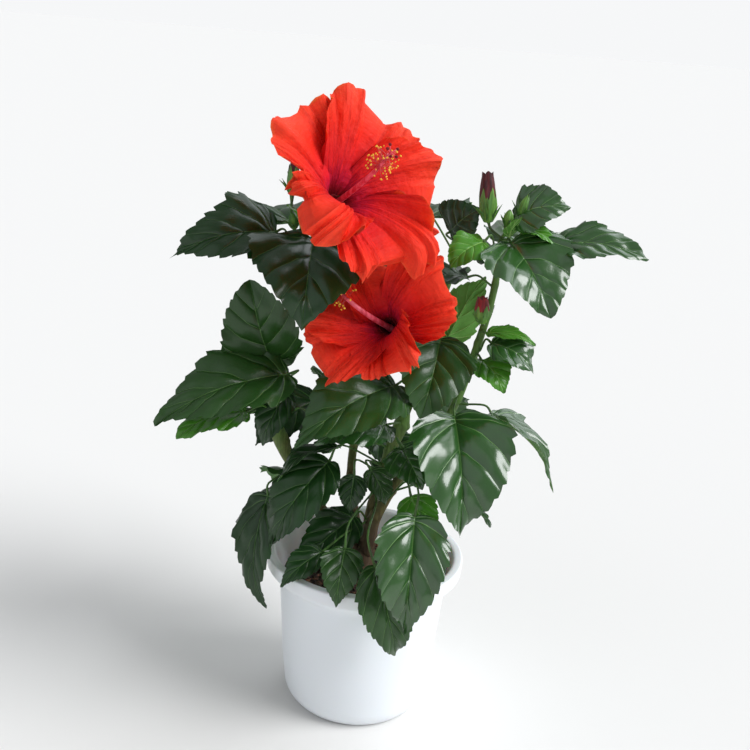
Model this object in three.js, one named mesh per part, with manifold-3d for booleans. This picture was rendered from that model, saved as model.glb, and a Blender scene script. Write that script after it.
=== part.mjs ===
// A potted hibiscus shrub: a nursery pot filled with bark mix, a short forked trunk with its stems,
// two large open blooms and the leaves as thin closed masses. Millimetres, +Z up, origin at the
// centre of the flat underside of the pot, front of the plant towards -Y.

import * as THREE from "three";
import { mergeVertices } from "three/addons/utils/BufferGeometryUtils.js";
import Module from "manifold-3d";

const wasm = await Module();
wasm.setup();

// Driving dimensions.
const GAP = 0.3; // clearance that every two touching pieces keep
const POT_HEIGHT = 150;
const POT_FOOT_RADIUS = 56;
const POT_FOOT_ROUND = 10;
const POT_WAIST_RADIUS = 70; // outside, at POT_WAIST_HEIGHT
const POT_WAIST_HEIGHT = 40;
const POT_NECK_RADIUS = 77; // outside, just under the flared lip
const POT_NECK_HEIGHT = 128;
const POT_LIP_RADIUS = 90;
const POT_LIP_HEIGHT = 12;
const POT_LIP_WIDTH = 9;
const POT_LIP_EASE = 2;
const POT_WALL = 3;
const POT_FACETS = 40;
const SOIL_TOP = 122;
const SOIL_FACETS = 30;
const SOIL_HEAP = 1.2; // height of the low heaps on top
const SOIL_SLOPE_WIDTH = 22; // the level band between the wall and the first heaps
const TRUNK_FLARE = 15; // radius where the trunk meets the soil
const TRUNK_RADIUS = 10;
const TRUNK_TOP = 150;
const FLARE_DECAY = 9; // how fast a flared foot narrows along its limb
const LIMB_SIDES = 7;
const STALK_RADIUS = 2;
const STALK_CLEARANCE = 0.8; // so that a slanting stalk does not bite into its limb
const STALK_LEAD = 0.5; // share of the stalk's span that runs in line with the blade
const LEAF_THICKNESS = 6;
const LEAF_SIDES = 6;
const LEAF_STEPS = 6;
const LEAF_SKEW = 0.62; // under 1, the blade is widest nearer its stalk than its tip
const LEAF_FULLNESS = 0.8; // under 1, the blade's sides are fuller than a sine curve
const LEAF_UNEVENNESS = 0.07;
const LEAF_ARCH = 0.1; // rise of the blade's middle, as a share of its length
const LEAF_CUP = 0.12; // lift of the blade's sides, as a share of its half width
const PETAL_THICKNESS = 5;
const PETAL_SIDES = 8;
const PETAL_STEPS = 7;
const PETAL_TWIST = 14; // degrees that each petal is turned on its own axis, like a fan blade
const PETAL_CLAW = 0.09; // share of its half width that a petal keeps at the throat
const PETAL_WIDEST = 0.64; // share of its length where a petal starts to round off
const CALYX_LENGTH = 28;
const CALYX_RADIUS = 7.5;
const COLUMN_RADIUS = 2.2;
const BRUSH_RADIUS = 7; // anthers and stigmas round the end of the column
const BRUSH_LENGTH = 26;

const finish = (color, roughness) => new THREE.MeshStandardMaterial({ color, roughness, metalness: 0 });
const potPlastic = finish("#eef1f4", 0.35);
const barkMix = finish("#3a2b24", 0.95);
const youngBark = finish("#6d6a3d", 0.7);
const leafGreen = finish("#1f4a26", 0.4);
const petalRed = finish("#e4331f", 0.5);
const columnRed = finish("#d94a3a", 0.5);

const at = (place) => new THREE.Vector3(...place);
const degrees = (angle) => THREE.MathUtils.degToRad(angle);

// A closed mesh as a manifold solid. Triangles that collapse on an axis are dropped.
function toSolid(geometry) {
  geometry.deleteAttribute("normal");
  geometry.deleteAttribute("uv");
  const merged = mergeVertices(geometry, 1e-3);
  const corners = merged.index.array;
  const faces = [];
  for (let i = 0; i < corners.length; i += 3) {
    const [a, b, c] = corners.slice(i, i + 3);
    if (a !== b && b !== c && c !== a) faces.push(a, b, c);
  }
  const mesh = new wasm.Mesh({
    numProp: 3,
    vertProperties: new Float32Array(merged.attributes.position.array),
    triVerts: new Uint32Array(faces),
  });
  mesh.merge();
  return new wasm.Manifold(mesh);
}

// A solid through rings of equal count, closed by a fan over each end ring.
function loft(rings) {
  const sides = rings[0].length;
  const points = rings.flat();
  const faces = [];
  for (let r = 0; r < rings.length - 1; r += 1) {
    for (let s = 0; s < sides; s += 1) {
      const a = r * sides + s;
      const b = r * sides + ((s + 1) % sides);
      faces.push(a, b, b + sides, a, b + sides, a + sides);
    }
  }
  const last = (rings.length - 1) * sides;
  for (let s = 1; s < sides - 1; s += 1) {
    faces.push(0, s + 1, s);
    faces.push(last, last + s, last + s + 1);
  }
  const geometry = new THREE.BufferGeometry().setFromPoints(points);
  geometry.setIndex(faces);
  return toSolid(geometry);
}

// An oval ring round a place: across and upright are half axes, bend lifts the ring's two sides.
function ovalRing(centre, side, normal, across, upright, sides, bend = 0) {
  const ring = [];
  for (let k = 0; k < sides; k += 1) {
    const turn = (2 * Math.PI * k) / sides;
    const reach = Math.cos(turn);
    const lift = upright * Math.sin(turn) + bend * across * reach * reach;
    ring.push(centre.clone().addScaledVector(side, across * reach).addScaledVector(normal, lift));
  }
  return ring;
}

// The pot: one hollow of revolution, flat underneath, with a rounded foot and a flared lip.
function makePot() {
  const inside = POT_WALL;
  const shoulder = POT_HEIGHT - POT_LIP_HEIGHT;
  const profile = [
    [0, 0],
    [POT_FOOT_RADIUS, 0],
    [POT_FOOT_RADIUS + 0.7 * POT_FOOT_ROUND, 0.3 * POT_FOOT_ROUND],
    [POT_FOOT_RADIUS + POT_FOOT_ROUND, POT_FOOT_ROUND],
    [POT_WAIST_RADIUS, POT_WAIST_HEIGHT],
    [POT_NECK_RADIUS, POT_NECK_HEIGHT],
    [POT_LIP_RADIUS, shoulder],
    [POT_LIP_RADIUS, POT_HEIGHT - POT_LIP_EASE],
    [POT_LIP_RADIUS - POT_LIP_EASE, POT_HEIGHT],
    [POT_LIP_RADIUS - POT_LIP_WIDTH, POT_HEIGHT],
    [POT_NECK_RADIUS - inside, POT_NECK_HEIGHT],
    [POT_WAIST_RADIUS - inside, POT_WAIST_HEIGHT],
    [POT_FOOT_RADIUS + POT_FOOT_ROUND - inside, POT_FOOT_ROUND + inside],
    [POT_FOOT_RADIUS, inside],
    [0, inside],
  ];
  return lathe(profile, POT_FACETS);
}

// A solid of revolution about +Z from [radius, height] pairs.
function lathe(profile, facets) {
  const points = profile.map(([radius, height]) => new THREE.Vector2(radius, height));
  const geometry = new THREE.LatheGeometry(points, facets);
  geometry.rotateX(Math.PI / 2);
  return toSolid(geometry);
}

// The filled inside of the pot, its top level round the trunk and uneven towards the wall.
function makeSoil() {
  const clear = POT_WALL + GAP;
  const rings = [];
  const levels = [
    [POT_FOOT_RADIUS, clear],
    [POT_FOOT_RADIUS + POT_FOOT_ROUND - clear, POT_FOOT_ROUND + clear],
    [POT_WAIST_RADIUS - clear, POT_WAIST_HEIGHT],
    [POT_NECK_RADIUS - clear - 0.5, SOIL_TOP],
    [POT_NECK_RADIUS - SOIL_SLOPE_WIDTH, SOIL_TOP],
    [TRUNK_FLARE + 16, SOIL_TOP],
    [TRUNK_FLARE + 6, SOIL_TOP],
  ];
  levels.forEach(([radius, height], level) => {
    const ring = [];
    for (let k = 0; k < SOIL_FACETS; k += 1) {
      const turn = (2 * Math.PI * k) / SOIL_FACETS;
      const heap = level === 4 || level === 5 ? SOIL_HEAP * Math.sin(3 * turn + level) : 0;
      ring.push(at([radius * Math.cos(turn), radius * Math.sin(turn), height + heap]));
    }
    rings.push(ring);
  });
  return loft(rings);
}

// A trunk or stem: one tapering limb along a smooth line, its foot cut level.
function limb({ line, foot, top, flare = 0 }, grow) {
  const curve = new THREE.CatmullRomCurve3(line.map(at));
  const steps = 3 * (line.length - 1);
  const rings = [];
  for (let i = 0; i <= steps; i += 1) {
    const u = i / steps;
    const along = i === 0 ? at([0, 0, 1]) : curve.getTangentAt(u);
    const side = new THREE.Vector3(1, 0, 0).addScaledVector(along, -along.x).normalize();
    const normal = along.clone().cross(side);
    const radius = THREE.MathUtils.lerp(foot, top, u) + flare * Math.exp(-FLARE_DECAY * u) + grow;
    rings.push(ovalRing(curve.getPointAt(u), side, normal, radius, radius, LIMB_SIDES));
  }
  return loft(rings);
}

// A leaf mass: a thin stalk from its limb to the neck, then a blade that widens and narrows again.
function leafMass({ foot, neck, tip, width, face, seed }, grow) {
  const start = at(foot);
  const base = at(neck);
  const end = at(tip);
  const length = base.distanceTo(end);
  const along = end.clone().sub(base).normalize();
  const up = at(face).addScaledVector(along, -at(face).dot(along)).normalize();
  const side = up.clone().cross(along);
  const rings = [];
  const lead = base.clone().addScaledVector(along, -STALK_LEAD * start.distanceTo(base));
  const stalkLine = new THREE.QuadraticBezierCurve3(start, lead, base);
  for (const u of [0, 0.5]) {
    const thin = STALK_RADIUS + grow;
    const heading = stalkLine.getTangentAt(u);
    const across = up.clone().cross(heading).normalize();
    rings.push(ovalRing(stalkLine.getPointAt(u), across, heading.cross(across), thin, thin, LEAF_SIDES));
  }
  for (let i = 0; i <= LEAF_STEPS; i += 1) {
    const u = i / LEAF_STEPS;
    const outline = Math.pow(Math.sin(Math.PI * Math.pow(u, LEAF_SKEW)), LEAF_FULLNESS);
    const uneven = 1 + LEAF_UNEVENNESS * Math.sin(seed + 2.4 * i);
    const across = STALK_RADIUS + (width / 2 - STALK_RADIUS) * (i < LEAF_STEPS ? outline : 0) * uneven;
    const upright = (LEAF_THICKNESS / 2) * (i < LEAF_STEPS ? 0.7 + 0.3 * outline : 0.4);
    const rise = LEAF_ARCH * length * Math.sin(Math.PI * u);
    const centre = base.clone().addScaledVector(along, u * length).addScaledVector(up, rise);
    rings.push(ovalRing(centre, side, up, across + grow, upright + grow, LEAF_SIDES, LEAF_CUP * outline));
  }
  return loft(rings);
}

// The petal's own directions round a bloom's axis: outwards at a turn counted from level right.
function bloomAxes(bloom) {
  const axis = at(bloom.axis).normalize();
  const level = at([0, 0, 1]).cross(axis).normalize();
  const upward = axis.clone().cross(level);
  return { axis, level, upward };
}

// A petal: narrow at the throat, broad and rounded at its end, flaring from funnel to dish.
function petalMass(bloom, { turn, reach, lift, width }, grow) {
  const { axis, level, upward } = bloomAxes(bloom);
  const angle = degrees(turn);
  const out = level.multiplyScalar(Math.cos(angle)).addScaledVector(upward, Math.sin(angle));
  const throat = at(bloom.throat);
  const spot = (radius, height) => throat.clone().addScaledVector(out, radius).addScaledVector(axis, height);
  const curve = new THREE.CatmullRomCurve3([
    spot(4, -4),
    spot(0.25 * reach, 0.45 * lift),
    spot(0.65 * reach, 0.9 * lift),
    spot(reach, lift),
  ]);
  const rings = [];
  for (let i = 0; i <= PETAL_STEPS; i += 1) {
    const u = i / PETAL_STEPS;
    const along = curve.getTangentAt(u);
    const side = axis.clone().cross(along).normalize().applyAxisAngle(along, degrees(PETAL_TWIST));
    const normal = along.clone().cross(side);
    const past = Math.max(0, (u - PETAL_WIDEST) / (1.02 - PETAL_WIDEST));
    const round = Math.sqrt(Math.max(0, 1 - past * past));
    const spread = Math.max(PETAL_CLAW, Math.sin((Math.PI / 2) * Math.min(1, u / PETAL_WIDEST)));
    const across = (width / 2) * spread * round;
    const upright = (PETAL_THICKNESS / 2) * (0.6 + 0.4 * round);
    rings.push(ovalRing(curve.getPointAt(u), side, normal, across + grow, upright + grow, PETAL_SIDES, 0.1));
  }
  return loft(rings);
}

// The middle of a bloom: its stalk, calyx, and the column with the brush of anthers at its end.
function bloomCore(bloom, grow) {
  const { axis } = bloomAxes(bloom);
  const throat = at(bloom.throat);
  const on = (height) => throat.clone().addScaledVector(axis, height);
  const foot = at(bloom.foot);
  const calyx = on(-CALYX_LENGTH);
  const stalk = new THREE.QuadraticBezierCurve3(foot, calyx.clone().addScaledVector(axis, -12), calyx);
  const brush = bloom.column - BRUSH_LENGTH;
  const stations = [
    [stalk.getPointAt(0), STALK_RADIUS],
    [stalk.getPointAt(0.5), STALK_RADIUS],
    [calyx, STALK_RADIUS + 1],
    [on(-0.75 * CALYX_LENGTH), CALYX_RADIUS],
    [on(-0.3 * CALYX_LENGTH), CALYX_RADIUS - 1],
    [on(2), COLUMN_RADIUS + 1],
    [on(0.5 * brush), COLUMN_RADIUS],
    [on(brush), COLUMN_RADIUS],
    [on(brush + 4), BRUSH_RADIUS],
    [on(bloom.column - 4), BRUSH_RADIUS - 1],
    [on(bloom.column), COLUMN_RADIUS],
  ];
  const rings = stations.map(([centre, radius], i) => {
    const from = stations[Math.max(0, i - 1)][0];
    const to = stations[Math.min(stations.length - 1, i + 1)][0];
    const along = to.clone().sub(from).normalize();
    const side = at([1, 0, 0]).addScaledVector(along, -along.x).normalize();
    return ovalRing(centre, side, along.clone().cross(side), radius + grow, radius + grow, LIMB_SIDES);
  });
  return loft(rings);
}

// Trunk and stems. Each stem is split where it bends from leaning out to growing up.
const limbs = {
  trunk: {
    line: [[0, 4, SOIL_TOP + GAP + 0.2], [-2, 3, TRUNK_TOP]],
    foot: TRUNK_RADIUS, top: 8, flare: TRUNK_FLARE - TRUNK_RADIUS,
  },
  stem_left_low: {
    line: [[-3, 3, 140], [-38, 2, 180], [-74, 5, 232], [-88, 5, 264]],
    foot: 6, top: 4.6,
  },
  stem_left_top: {
    line: [[-88, 5, 264.4], [-84, 0, 307], [-79, -5, 363], [-74, -10, 430]],
    foot: 4.5, top: 3,
  },
  stem_middle_low: {
    line: [[-1, 5, 140], [4, 3, 195], [18, 5, 257], [28, 8, 284]],
    foot: 6, top: 4.6,
  },
  stem_middle_top: {
    line: [[28, 8, 284.4], [39, 15, 339], [52, 20, 393], [58, 15, 440]],
    foot: 4.5, top: 2.8,
  },
  stem_right_low: {
    line: [[2, 1, 140], [7, -5, 181], [24, -3, 220], [50, 0, 257], [66, 0, 286]],
    foot: 5.6, top: 4.6,
  },
  stem_right_top: {
    line: [[66, 0, 286.4], [79, -5, 340], [90, -10, 404], [91, -10, 448]],
    foot: 4.5, top: 3,
  },
  stem_back: {
    line: [[-3, 8, 140], [-18, 40, 200], [-14, 70, 275], [-5, 80, 350]],
    foot: 5.5, top: 3,
  },
};

// The place on a limb's surface, at a given height, where a stalk leaves it towards its neck.
function footOnLimb(name, height, neck) {
  const shape = limbs[name];
  const curve = new THREE.CatmullRomCurve3(shape.line.map(at));
  let low = 0;
  let high = 1;
  for (let i = 0; i < 20; i += 1) {
    const middle = (low + high) / 2;
    if (curve.getPointAt(middle).z < height) low = middle;
    else high = middle;
  }
  const centre = curve.getPointAt(low);
  const heading = curve.getTangentAt(low);
  const out = at(neck).sub(centre);
  out.addScaledVector(heading, -out.dot(heading)).normalize();
  const clear = THREE.MathUtils.lerp(shape.foot, shape.top, low) + GAP + STALK_CLEARANCE;
  return centre.addScaledVector(out, clear).toArray();
}

// The two blooms, each with its five petals by turn round the axis, reach, lift and width.
const blooms = {
  bloom_upper: {
    limb: "stem_left_top", height: 426, throat: [-44, -45, 472],
    axis: [0.51, -0.64, 0.57], column: 80,
    petals: [
      { turn: 125, reach: 78, lift: 30, width: 84 },
      { turn: 56, reach: 86, lift: 32, width: 84 },
      { turn: -12, reach: 84, lift: 32, width: 84 },
      { turn: -78, reach: 78, lift: 34, width: 80 },
      { turn: -152, reach: 62, lift: 42, width: 76 },
    ],
  },
  bloom_lower: {
    limb: "stem_middle_top", height: 340, throat: [2, -45, 376],
    axis: [-0.36, -0.8, 0.48], column: 72,
    petals: [
      { turn: 178, reach: 62, lift: 24, width: 68 },
      { turn: 106, reach: 48, lift: 22, width: 62 },
      { turn: 38, reach: 68, lift: 22, width: 62 },
      { turn: -50, reach: 56, lift: 28, width: 70 },
      { turn: -130, reach: 66, lift: 26, width: 70 },
    ],
  },
};

// The leaf masses: the limb and the height where each stalk leaves, the neck and tip of the blade,
// its full width, and the way its upper side faces.
const leaves = {
  foliage_upper_left: {
    limb: "stem_left_top", height: 424, neck: [-93, -15, 439], tip: [-174, -46, 420],
    width: 66, face: [-0.2, -0.7, 0.65],
  },
  foliage_under_bloom: {
    limb: "stem_left_top", height: 418, neck: [-62, -20, 436], tip: [-62, -90, 384],
    width: 96, face: [0.05, -0.5, 0.85],
  },
  foliage_left_upright: {
    limb: "stem_left_top", height: 300, neck: [-92, -6, 322], tip: [-112, -25, 399],
    width: 64, face: [-0.1, -0.95, 0.3],
  },
  foliage_far_left: {
    limb: "stem_left_top", height: 306, neck: [-76, -22, 317], tip: [-180, -70, 287],
    width: 70, face: [-0.1, -0.55, 0.83],
  },
  foliage_left_bright: {
    limb: "stem_left_top", height: 272, neck: [-109, -35, 288], tip: [-164, -60, 271],
    width: 44, face: [0, -0.3, 0.95],
  },
  foliage_centre: {
    limb: "stem_middle_top", height: 305, neck: [15, -30, 320], tip: [-63, -90, 283],
    width: 74, face: [-0.1, -0.6, 0.8],
  },
  foliage_centre_glossy: {
    limb: "stem_middle_low", height: 272, neck: [10, -20, 280], tip: [-48, -60, 277],
    width: 50, face: [0.1, -0.5, 0.85],
  },
  foliage_left_thin: {
    limb: "stem_middle_low", height: 248, neck: [-30, -20, 256], tip: [-83, -40, 231],
    width: 30, face: [0.3, 0.2, 0.9],
  },
  foliage_left_low: {
    limb: "stem_middle_low", height: 232, neck: [-37, -22, 243], tip: [-83, -60, 180],
    width: 50, face: [-0.2, -0.7, 0.6],
  },
  foliage_left_lowest: {
    limb: "stem_left_low", height: 222, neck: [-89, -20, 205], tip: [-90, -52, 108],
    width: 46, face: [-0.6, -0.75, 0.2],
  },
  foliage_over_soil: {
    limb: "stem_middle_low", height: 180, neck: [-11, -16, 189], tip: [-58, -52, 152],
    width: 42, face: [-0.1, -0.7, 0.7],
  },
  foliage_rim_front: {
    limb: "stem_right_low", height: 190, neck: [-17, -66, 183], tip: [-21, -98, 146],
    width: 34, face: [0, -0.6, 0.8],
  },
  foliage_small_glossy: {
    limb: "stem_right_low", height: 240, neck: [25, -30, 263], tip: [44, -60, 240],
    width: 42, face: [-0.1, -0.6, 0.8],
  },
  foliage_small_bright: {
    limb: "stem_right_low", height: 205, neck: [36, -38, 223], tip: [54, -58, 189],
    width: 34, face: [0.1, -0.8, 0.6],
  },
  foliage_right_big: {
    limb: "stem_right_top", height: 306, neck: [67, -22, 294], tip: [79, -75, 207],
    width: 86, face: [0.15, -0.8, 0.55],
  },
  foliage_right_edge: {
    limb: "stem_right_top", height: 298, neck: [100, -10, 294], tip: [160, -40, 241],
    width: 48, face: [0.72, -0.06, 0.77],
  },
  foliage_front_big: {
    limb: "stem_right_low", height: 222, neck: [39, -72, 221], tip: [37, -112, 133],
    width: 58, face: [0, -0.93, 0.35],
  },
  foliage_front_low: {
    limb: "stem_right_low", height: 175, neck: [9, -86, 180], tip: [34, -99, 101],
    width: 44, face: [0.2, -0.95, 0.2],
  },
  foliage_by_lower_bloom: {
    limb: "stem_middle_top", height: 350, neck: [49, -20, 361], tip: [37, -60, 304],
    width: 62, face: [0.1, -0.85, 0.5],
  },
  foliage_turned_up: {
    limb: "stem_middle_top", height: 340, neck: [56, 5, 353], tip: [83, 5, 413],
    width: 38, face: [0.2, 0.8, 0.5],
  },
  foliage_right_middle: {
    limb: "stem_right_top", height: 350, neck: [92, -18, 360], tip: [130, -30, 343],
    width: 42, face: [0.2, -0.5, 0.85],
  },
  foliage_top_middle: {
    limb: "stem_middle_top", height: 436, neck: [50, 8, 446], tip: [72, -2, 470],
    width: 44, face: [0, -0.8, 0.6],
  },
  foliage_top_crumpled: {
    limb: "stem_right_top", height: 425, neck: [76, -24, 446], tip: [49, -40, 428],
    width: 34, face: [-0.2, -0.6, 0.75],
  },
  foliage_top_right: {
    limb: "stem_right_top", height: 446, neck: [100, -8, 466], tip: [142, -22, 480],
    width: 44, face: [0, -0.7, 0.7],
  },
  foliage_right_glossy: {
    limb: "stem_right_top", height: 442, neck: [98, -18, 446], tip: [131, -66, 398],
    width: 72, face: [0.1, -0.75, 0.65],
  },
  foliage_far_right: {
    limb: "stem_right_top", height: 440, neck: [135, -16, 446], tip: [206, -42, 446],
    width: 44, face: [0, -0.5, 0.87],
  },
  foliage_back_upper_left: {
    limb: "stem_left_top", height: 420, neck: [-86, 22, 440], tip: [-128, 110, 424],
    width: 90, face: [-0.1, 0.4, 0.9],
  },
  foliage_back_upper: {
    limb: "stem_middle_top", height: 425, neck: [32, 48, 448], tip: [5, 135, 430],
    width: 95, face: [-0.1, 0.45, 0.88],
  },
  foliage_back_upper_right: {
    limb: "stem_right_top", height: 425, neck: [108, 22, 438], tip: [160, 100, 420],
    width: 88, face: [0.2, 0.4, 0.88],
  },
  foliage_back_left: {
    limb: "stem_left_top", height: 278, neck: [-104, 34, 292], tip: [-164, 104, 250],
    width: 80, face: [-0.3, 0.5, 0.8],
  },
  foliage_back_middle: {
    limb: "stem_middle_top", height: 375, neck: [32, 60, 388], tip: [36, 142, 364],
    width: 85, face: [0, 0.6, 0.8],
  },
  foliage_back: {
    limb: "stem_back", height: 348, neck: [-10, 98, 358], tip: [-34, 172, 328],
    width: 90, face: [-0.1, 0.6, 0.8],
  },
  foliage_back_right: {
    limb: "stem_right_top", height: 300, neck: [72, 42, 312], tip: [104, 122, 292],
    width: 76, face: [0.2, 0.6, 0.8],
  },
  foliage_back_low_left: {
    limb: "stem_back", height: 240, neck: [-50, 78, 250], tip: [-110, 135, 214],
    width: 86, face: [-0.3, 0.7, 0.65],
  },
  foliage_back_low_right: {
    limb: "stem_back", height: 255, neck: [30, 88, 264], tip: [84, 146, 220],
    width: 84, face: [0.3, 0.7, 0.65],
  },
  foliage_side_low_left: {
    limb: "stem_left_low", height: 195, neck: [-62, 40, 202], tip: [-90, 98, 160],
    width: 66, face: [-0.3, 0.6, 0.7],
  },
  foliage_side_low_right: {
    limb: "stem_right_low", height: 225, neck: [62, 42, 228], tip: [108, 96, 186],
    width: 70, face: [0.4, 0.6, 0.7],
  },
};

const shrub = new THREE.Group();
shrub.name = "potted_hibiscus";
const placed = [];
const meets = (a, b) => [0, 1, 2].every((axis) => a.min[axis] < b.max[axis] && b.min[axis] < a.max[axis]);

// Adds one piece: whatever already stands in its place, with its clearance, is cut away from it.
function place(name, material, make) {
  let solid = make(0);
  for (const other of placed) {
    if (meets(solid.boundingBox(), other.box)) solid = solid.subtract(other.grown);
  }
  const parts = solid.decompose();
  solid = parts.reduce((best, part) => (part.volume() > best.volume() ? part : best));
  const grown = make(GAP);
  placed.push({ grown, box: grown.boundingBox() });
  const { vertProperties, triVerts } = solid.getMesh();
  const geometry = new THREE.BufferGeometry();
  geometry.setAttribute("position", new THREE.BufferAttribute(vertProperties, 3));
  geometry.setIndex(new THREE.BufferAttribute(triVerts, 1));
  geometry.computeVertexNormals();
  const mesh = new THREE.Mesh(geometry, material);
  mesh.name = name;
  shrub.add(mesh);
}

place("pot", potPlastic, makePot);
place("soil", barkMix, makeSoil);
for (const [name, shape] of Object.entries(limbs)) {
  place(name, youngBark, (grow) => limb(shape, grow));
}
for (const [name, bloom] of Object.entries(blooms)) {
  bloom.foot = footOnLimb(bloom.limb, bloom.height, bloom.throat);
  place(`${name}_core`, columnRed, (grow) => bloomCore(bloom, grow));
}
for (const [name, bloom] of Object.entries(blooms)) {
  bloom.petals.forEach((petal, index) => {
    place(`${name}_petal_${index + 1}`, petalRed, (grow) => petalMass(bloom, petal, grow));
  });
}
Object.entries(leaves).forEach(([name, leaf], index) => {
  const foot = footOnLimb(leaf.limb, leaf.height, leaf.neck);
  place(name, leafGreen, (grow) => leafMass({ ...leaf, foot, seed: index }, grow));
});

export default shrub;
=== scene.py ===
# The looks of a potted hibiscus shrub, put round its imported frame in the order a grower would:
# the pot, the bark mix, the trunk and stems, the leaves on their stalks, the buds and the blooms.
import math

import bpy
import numpy as np
from mathutils import Matrix, Vector, noise


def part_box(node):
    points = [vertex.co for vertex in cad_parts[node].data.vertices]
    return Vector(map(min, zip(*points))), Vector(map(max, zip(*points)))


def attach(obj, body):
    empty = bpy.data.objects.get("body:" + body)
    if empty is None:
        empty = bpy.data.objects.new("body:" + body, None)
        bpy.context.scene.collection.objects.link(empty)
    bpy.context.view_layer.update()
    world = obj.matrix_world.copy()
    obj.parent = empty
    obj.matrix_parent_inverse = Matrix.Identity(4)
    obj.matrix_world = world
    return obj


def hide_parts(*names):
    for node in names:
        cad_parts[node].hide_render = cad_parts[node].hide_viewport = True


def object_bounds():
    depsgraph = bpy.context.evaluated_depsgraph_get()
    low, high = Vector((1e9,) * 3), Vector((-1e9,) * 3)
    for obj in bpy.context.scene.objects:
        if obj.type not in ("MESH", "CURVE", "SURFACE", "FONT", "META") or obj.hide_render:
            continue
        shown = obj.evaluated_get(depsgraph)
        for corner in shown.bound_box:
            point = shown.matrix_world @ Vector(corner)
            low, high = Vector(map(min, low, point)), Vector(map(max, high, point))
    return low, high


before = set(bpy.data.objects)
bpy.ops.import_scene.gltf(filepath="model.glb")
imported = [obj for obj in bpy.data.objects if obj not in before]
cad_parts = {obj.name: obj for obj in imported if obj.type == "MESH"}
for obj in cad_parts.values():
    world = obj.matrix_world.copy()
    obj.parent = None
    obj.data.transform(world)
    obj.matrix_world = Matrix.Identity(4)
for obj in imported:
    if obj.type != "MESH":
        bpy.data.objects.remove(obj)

cad_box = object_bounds()

# ---- Camera, floor and light -------------------------------------------------------------------
# A portrait lens looks down on the plant, turned a little on its own axis. The floor is a plain
# matt white sheet. A broad window on the right gives most of the light, the sky gives some from
# behind it, and a weak window on the left fills the shadows.
MM = 0.001
CAMERA_PLACE = Vector((-3.2, -863.7, 606.8)) * MM
CAMERA_PITCH = math.radians(18.5)
CAMERA_ROLL = math.radians(4.5)
LENS_LENGTH = 50.4  # millimetres, for a sensor 36 wide


def linear(code):
    """An sRGB hex colour as the linear values that shaders take."""
    parts = [int(code[i:i + 2], 16) / 255 for i in (1, 3, 5)]
    return [p / 12.92 if p <= 0.04045 else ((p + 0.055) / 1.055) ** 2.4 for p in parts] + [1.0]


def node(owner, kind, **settings):
    """Adds a node and sets it up: a setting is an attribute, an input's value, or a socket to join."""
    tree = getattr(owner, "node_tree", owner)
    made = tree.nodes.new(kind)
    for key, value in settings.items():
        name = int(key[5:]) if key.startswith("input") else key.replace("_", " ")
        if isinstance(value, bpy.types.NodeSocket):
            tree.links.new(value, made.inputs[name])
        elif isinstance(name, int) or name in made.inputs:
            made.inputs[name].default_value = value
        else:
            setattr(made, key, value)
    return made


def finish(name, colour, **surface):
    """A new material of one colour, with the other inputs of its Principled shader set."""
    material = bpy.data.materials.new(name)
    material.use_nodes = True
    shader = material.node_tree.nodes["Principled BSDF"]
    shader.inputs["Base Color"].default_value = linear(colour)
    for key, value in surface.items():
        shader.inputs[key.replace("_", " ")].default_value = value
    return material


def dress(object, slot, *replaced):
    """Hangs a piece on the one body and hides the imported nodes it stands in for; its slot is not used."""
    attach(object, "root")
    if replaced:
        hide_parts(*replaced)


lens = bpy.data.cameras.new("portrait_lens")
lens.lens = LENS_LENGTH
lens.sensor_width = 36.0
camera = bpy.data.objects.new("camera", lens)
bpy.context.scene.collection.objects.link(camera)
camera.matrix_world = (
    Matrix.Translation(CAMERA_PLACE)
    @ Matrix.Rotation(math.pi / 2 - CAMERA_PITCH, 4, "X")
    @ Matrix.Rotation(CAMERA_ROLL, 4, "Z")
)
bpy.context.scene.camera = camera

FLOOR_HALF = 40.0
floor_mesh = bpy.data.meshes.new("floor")
floor_mesh.from_pydata(
    [(x * FLOOR_HALF, y * FLOOR_HALF, 0) for x, y in ((-1, -1), (1, -1), (1, 1), (-1, 1))],
    [],
    [(0, 1, 2, 3)],
)
floor = bpy.data.objects.new("floor", floor_mesh)
bpy.context.scene.collection.objects.link(floor)
floor_mesh.materials.append(finish("floor_matt_white", "#e4e4e2", Roughness=0.8, Specular_IOR_Level=0.0))


def soft_light(name, source, breadth, power, colour):
    """An even light that comes from a direction, as broad in the sky as its degrees."""
    data = bpy.data.lights.new(name, "SUN")
    data.angle = math.radians(breadth)
    data.energy = power
    data.color = linear(colour)[:3]
    light = bpy.data.objects.new(name, data)
    light.matrix_world = Vector(source).to_track_quat("Z", "Y").to_matrix().to_4x4()
    bpy.context.scene.collection.objects.link(light)


soft_light("window_right", (1.0, -0.3, 0.9), 38, 3.1, "#fdfdff")
soft_light("skylight", (0.6, 0.75, 0.9), 50, 0.9, "#f4f8ff")
soft_light("window_left", (-0.8, -0.9, 0.7), 60, 0.3, "#f2f6ff")
# The plain display curve keeps the scarlet as strong as it is on the plant.
bpy.context.scene.view_settings.view_transform = "Standard"
# The room looks paler than the light it sheds, so the floor runs on without a horizon.
world = bpy.data.worlds.new("studio")
world.use_nodes = True
sky = world.node_tree.nodes["Background"]
sky.inputs["Color"].default_value = linear("#f3f4f5")
rays = node(world, "ShaderNodeLightPath")
glow = node(world, "ShaderNodeMapRange", To_Min=0.39, To_Max=1.03, Value=rays.outputs["Is Camera Ray"])
world.node_tree.links.new(glow.outputs["Result"], sky.inputs["Strength"])
bpy.context.scene.world = world

# ---- Pot ---------------------------------------------------------------------------------------
# A thin-walled nursery pot in white polypropylene, injection moulded in one shot. Its wall flares
# into a wide lip that stiffens the mouth, and its flat foot has a generous round.
POT_WALL = 0.0024
POT_STEPS = 144


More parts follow.
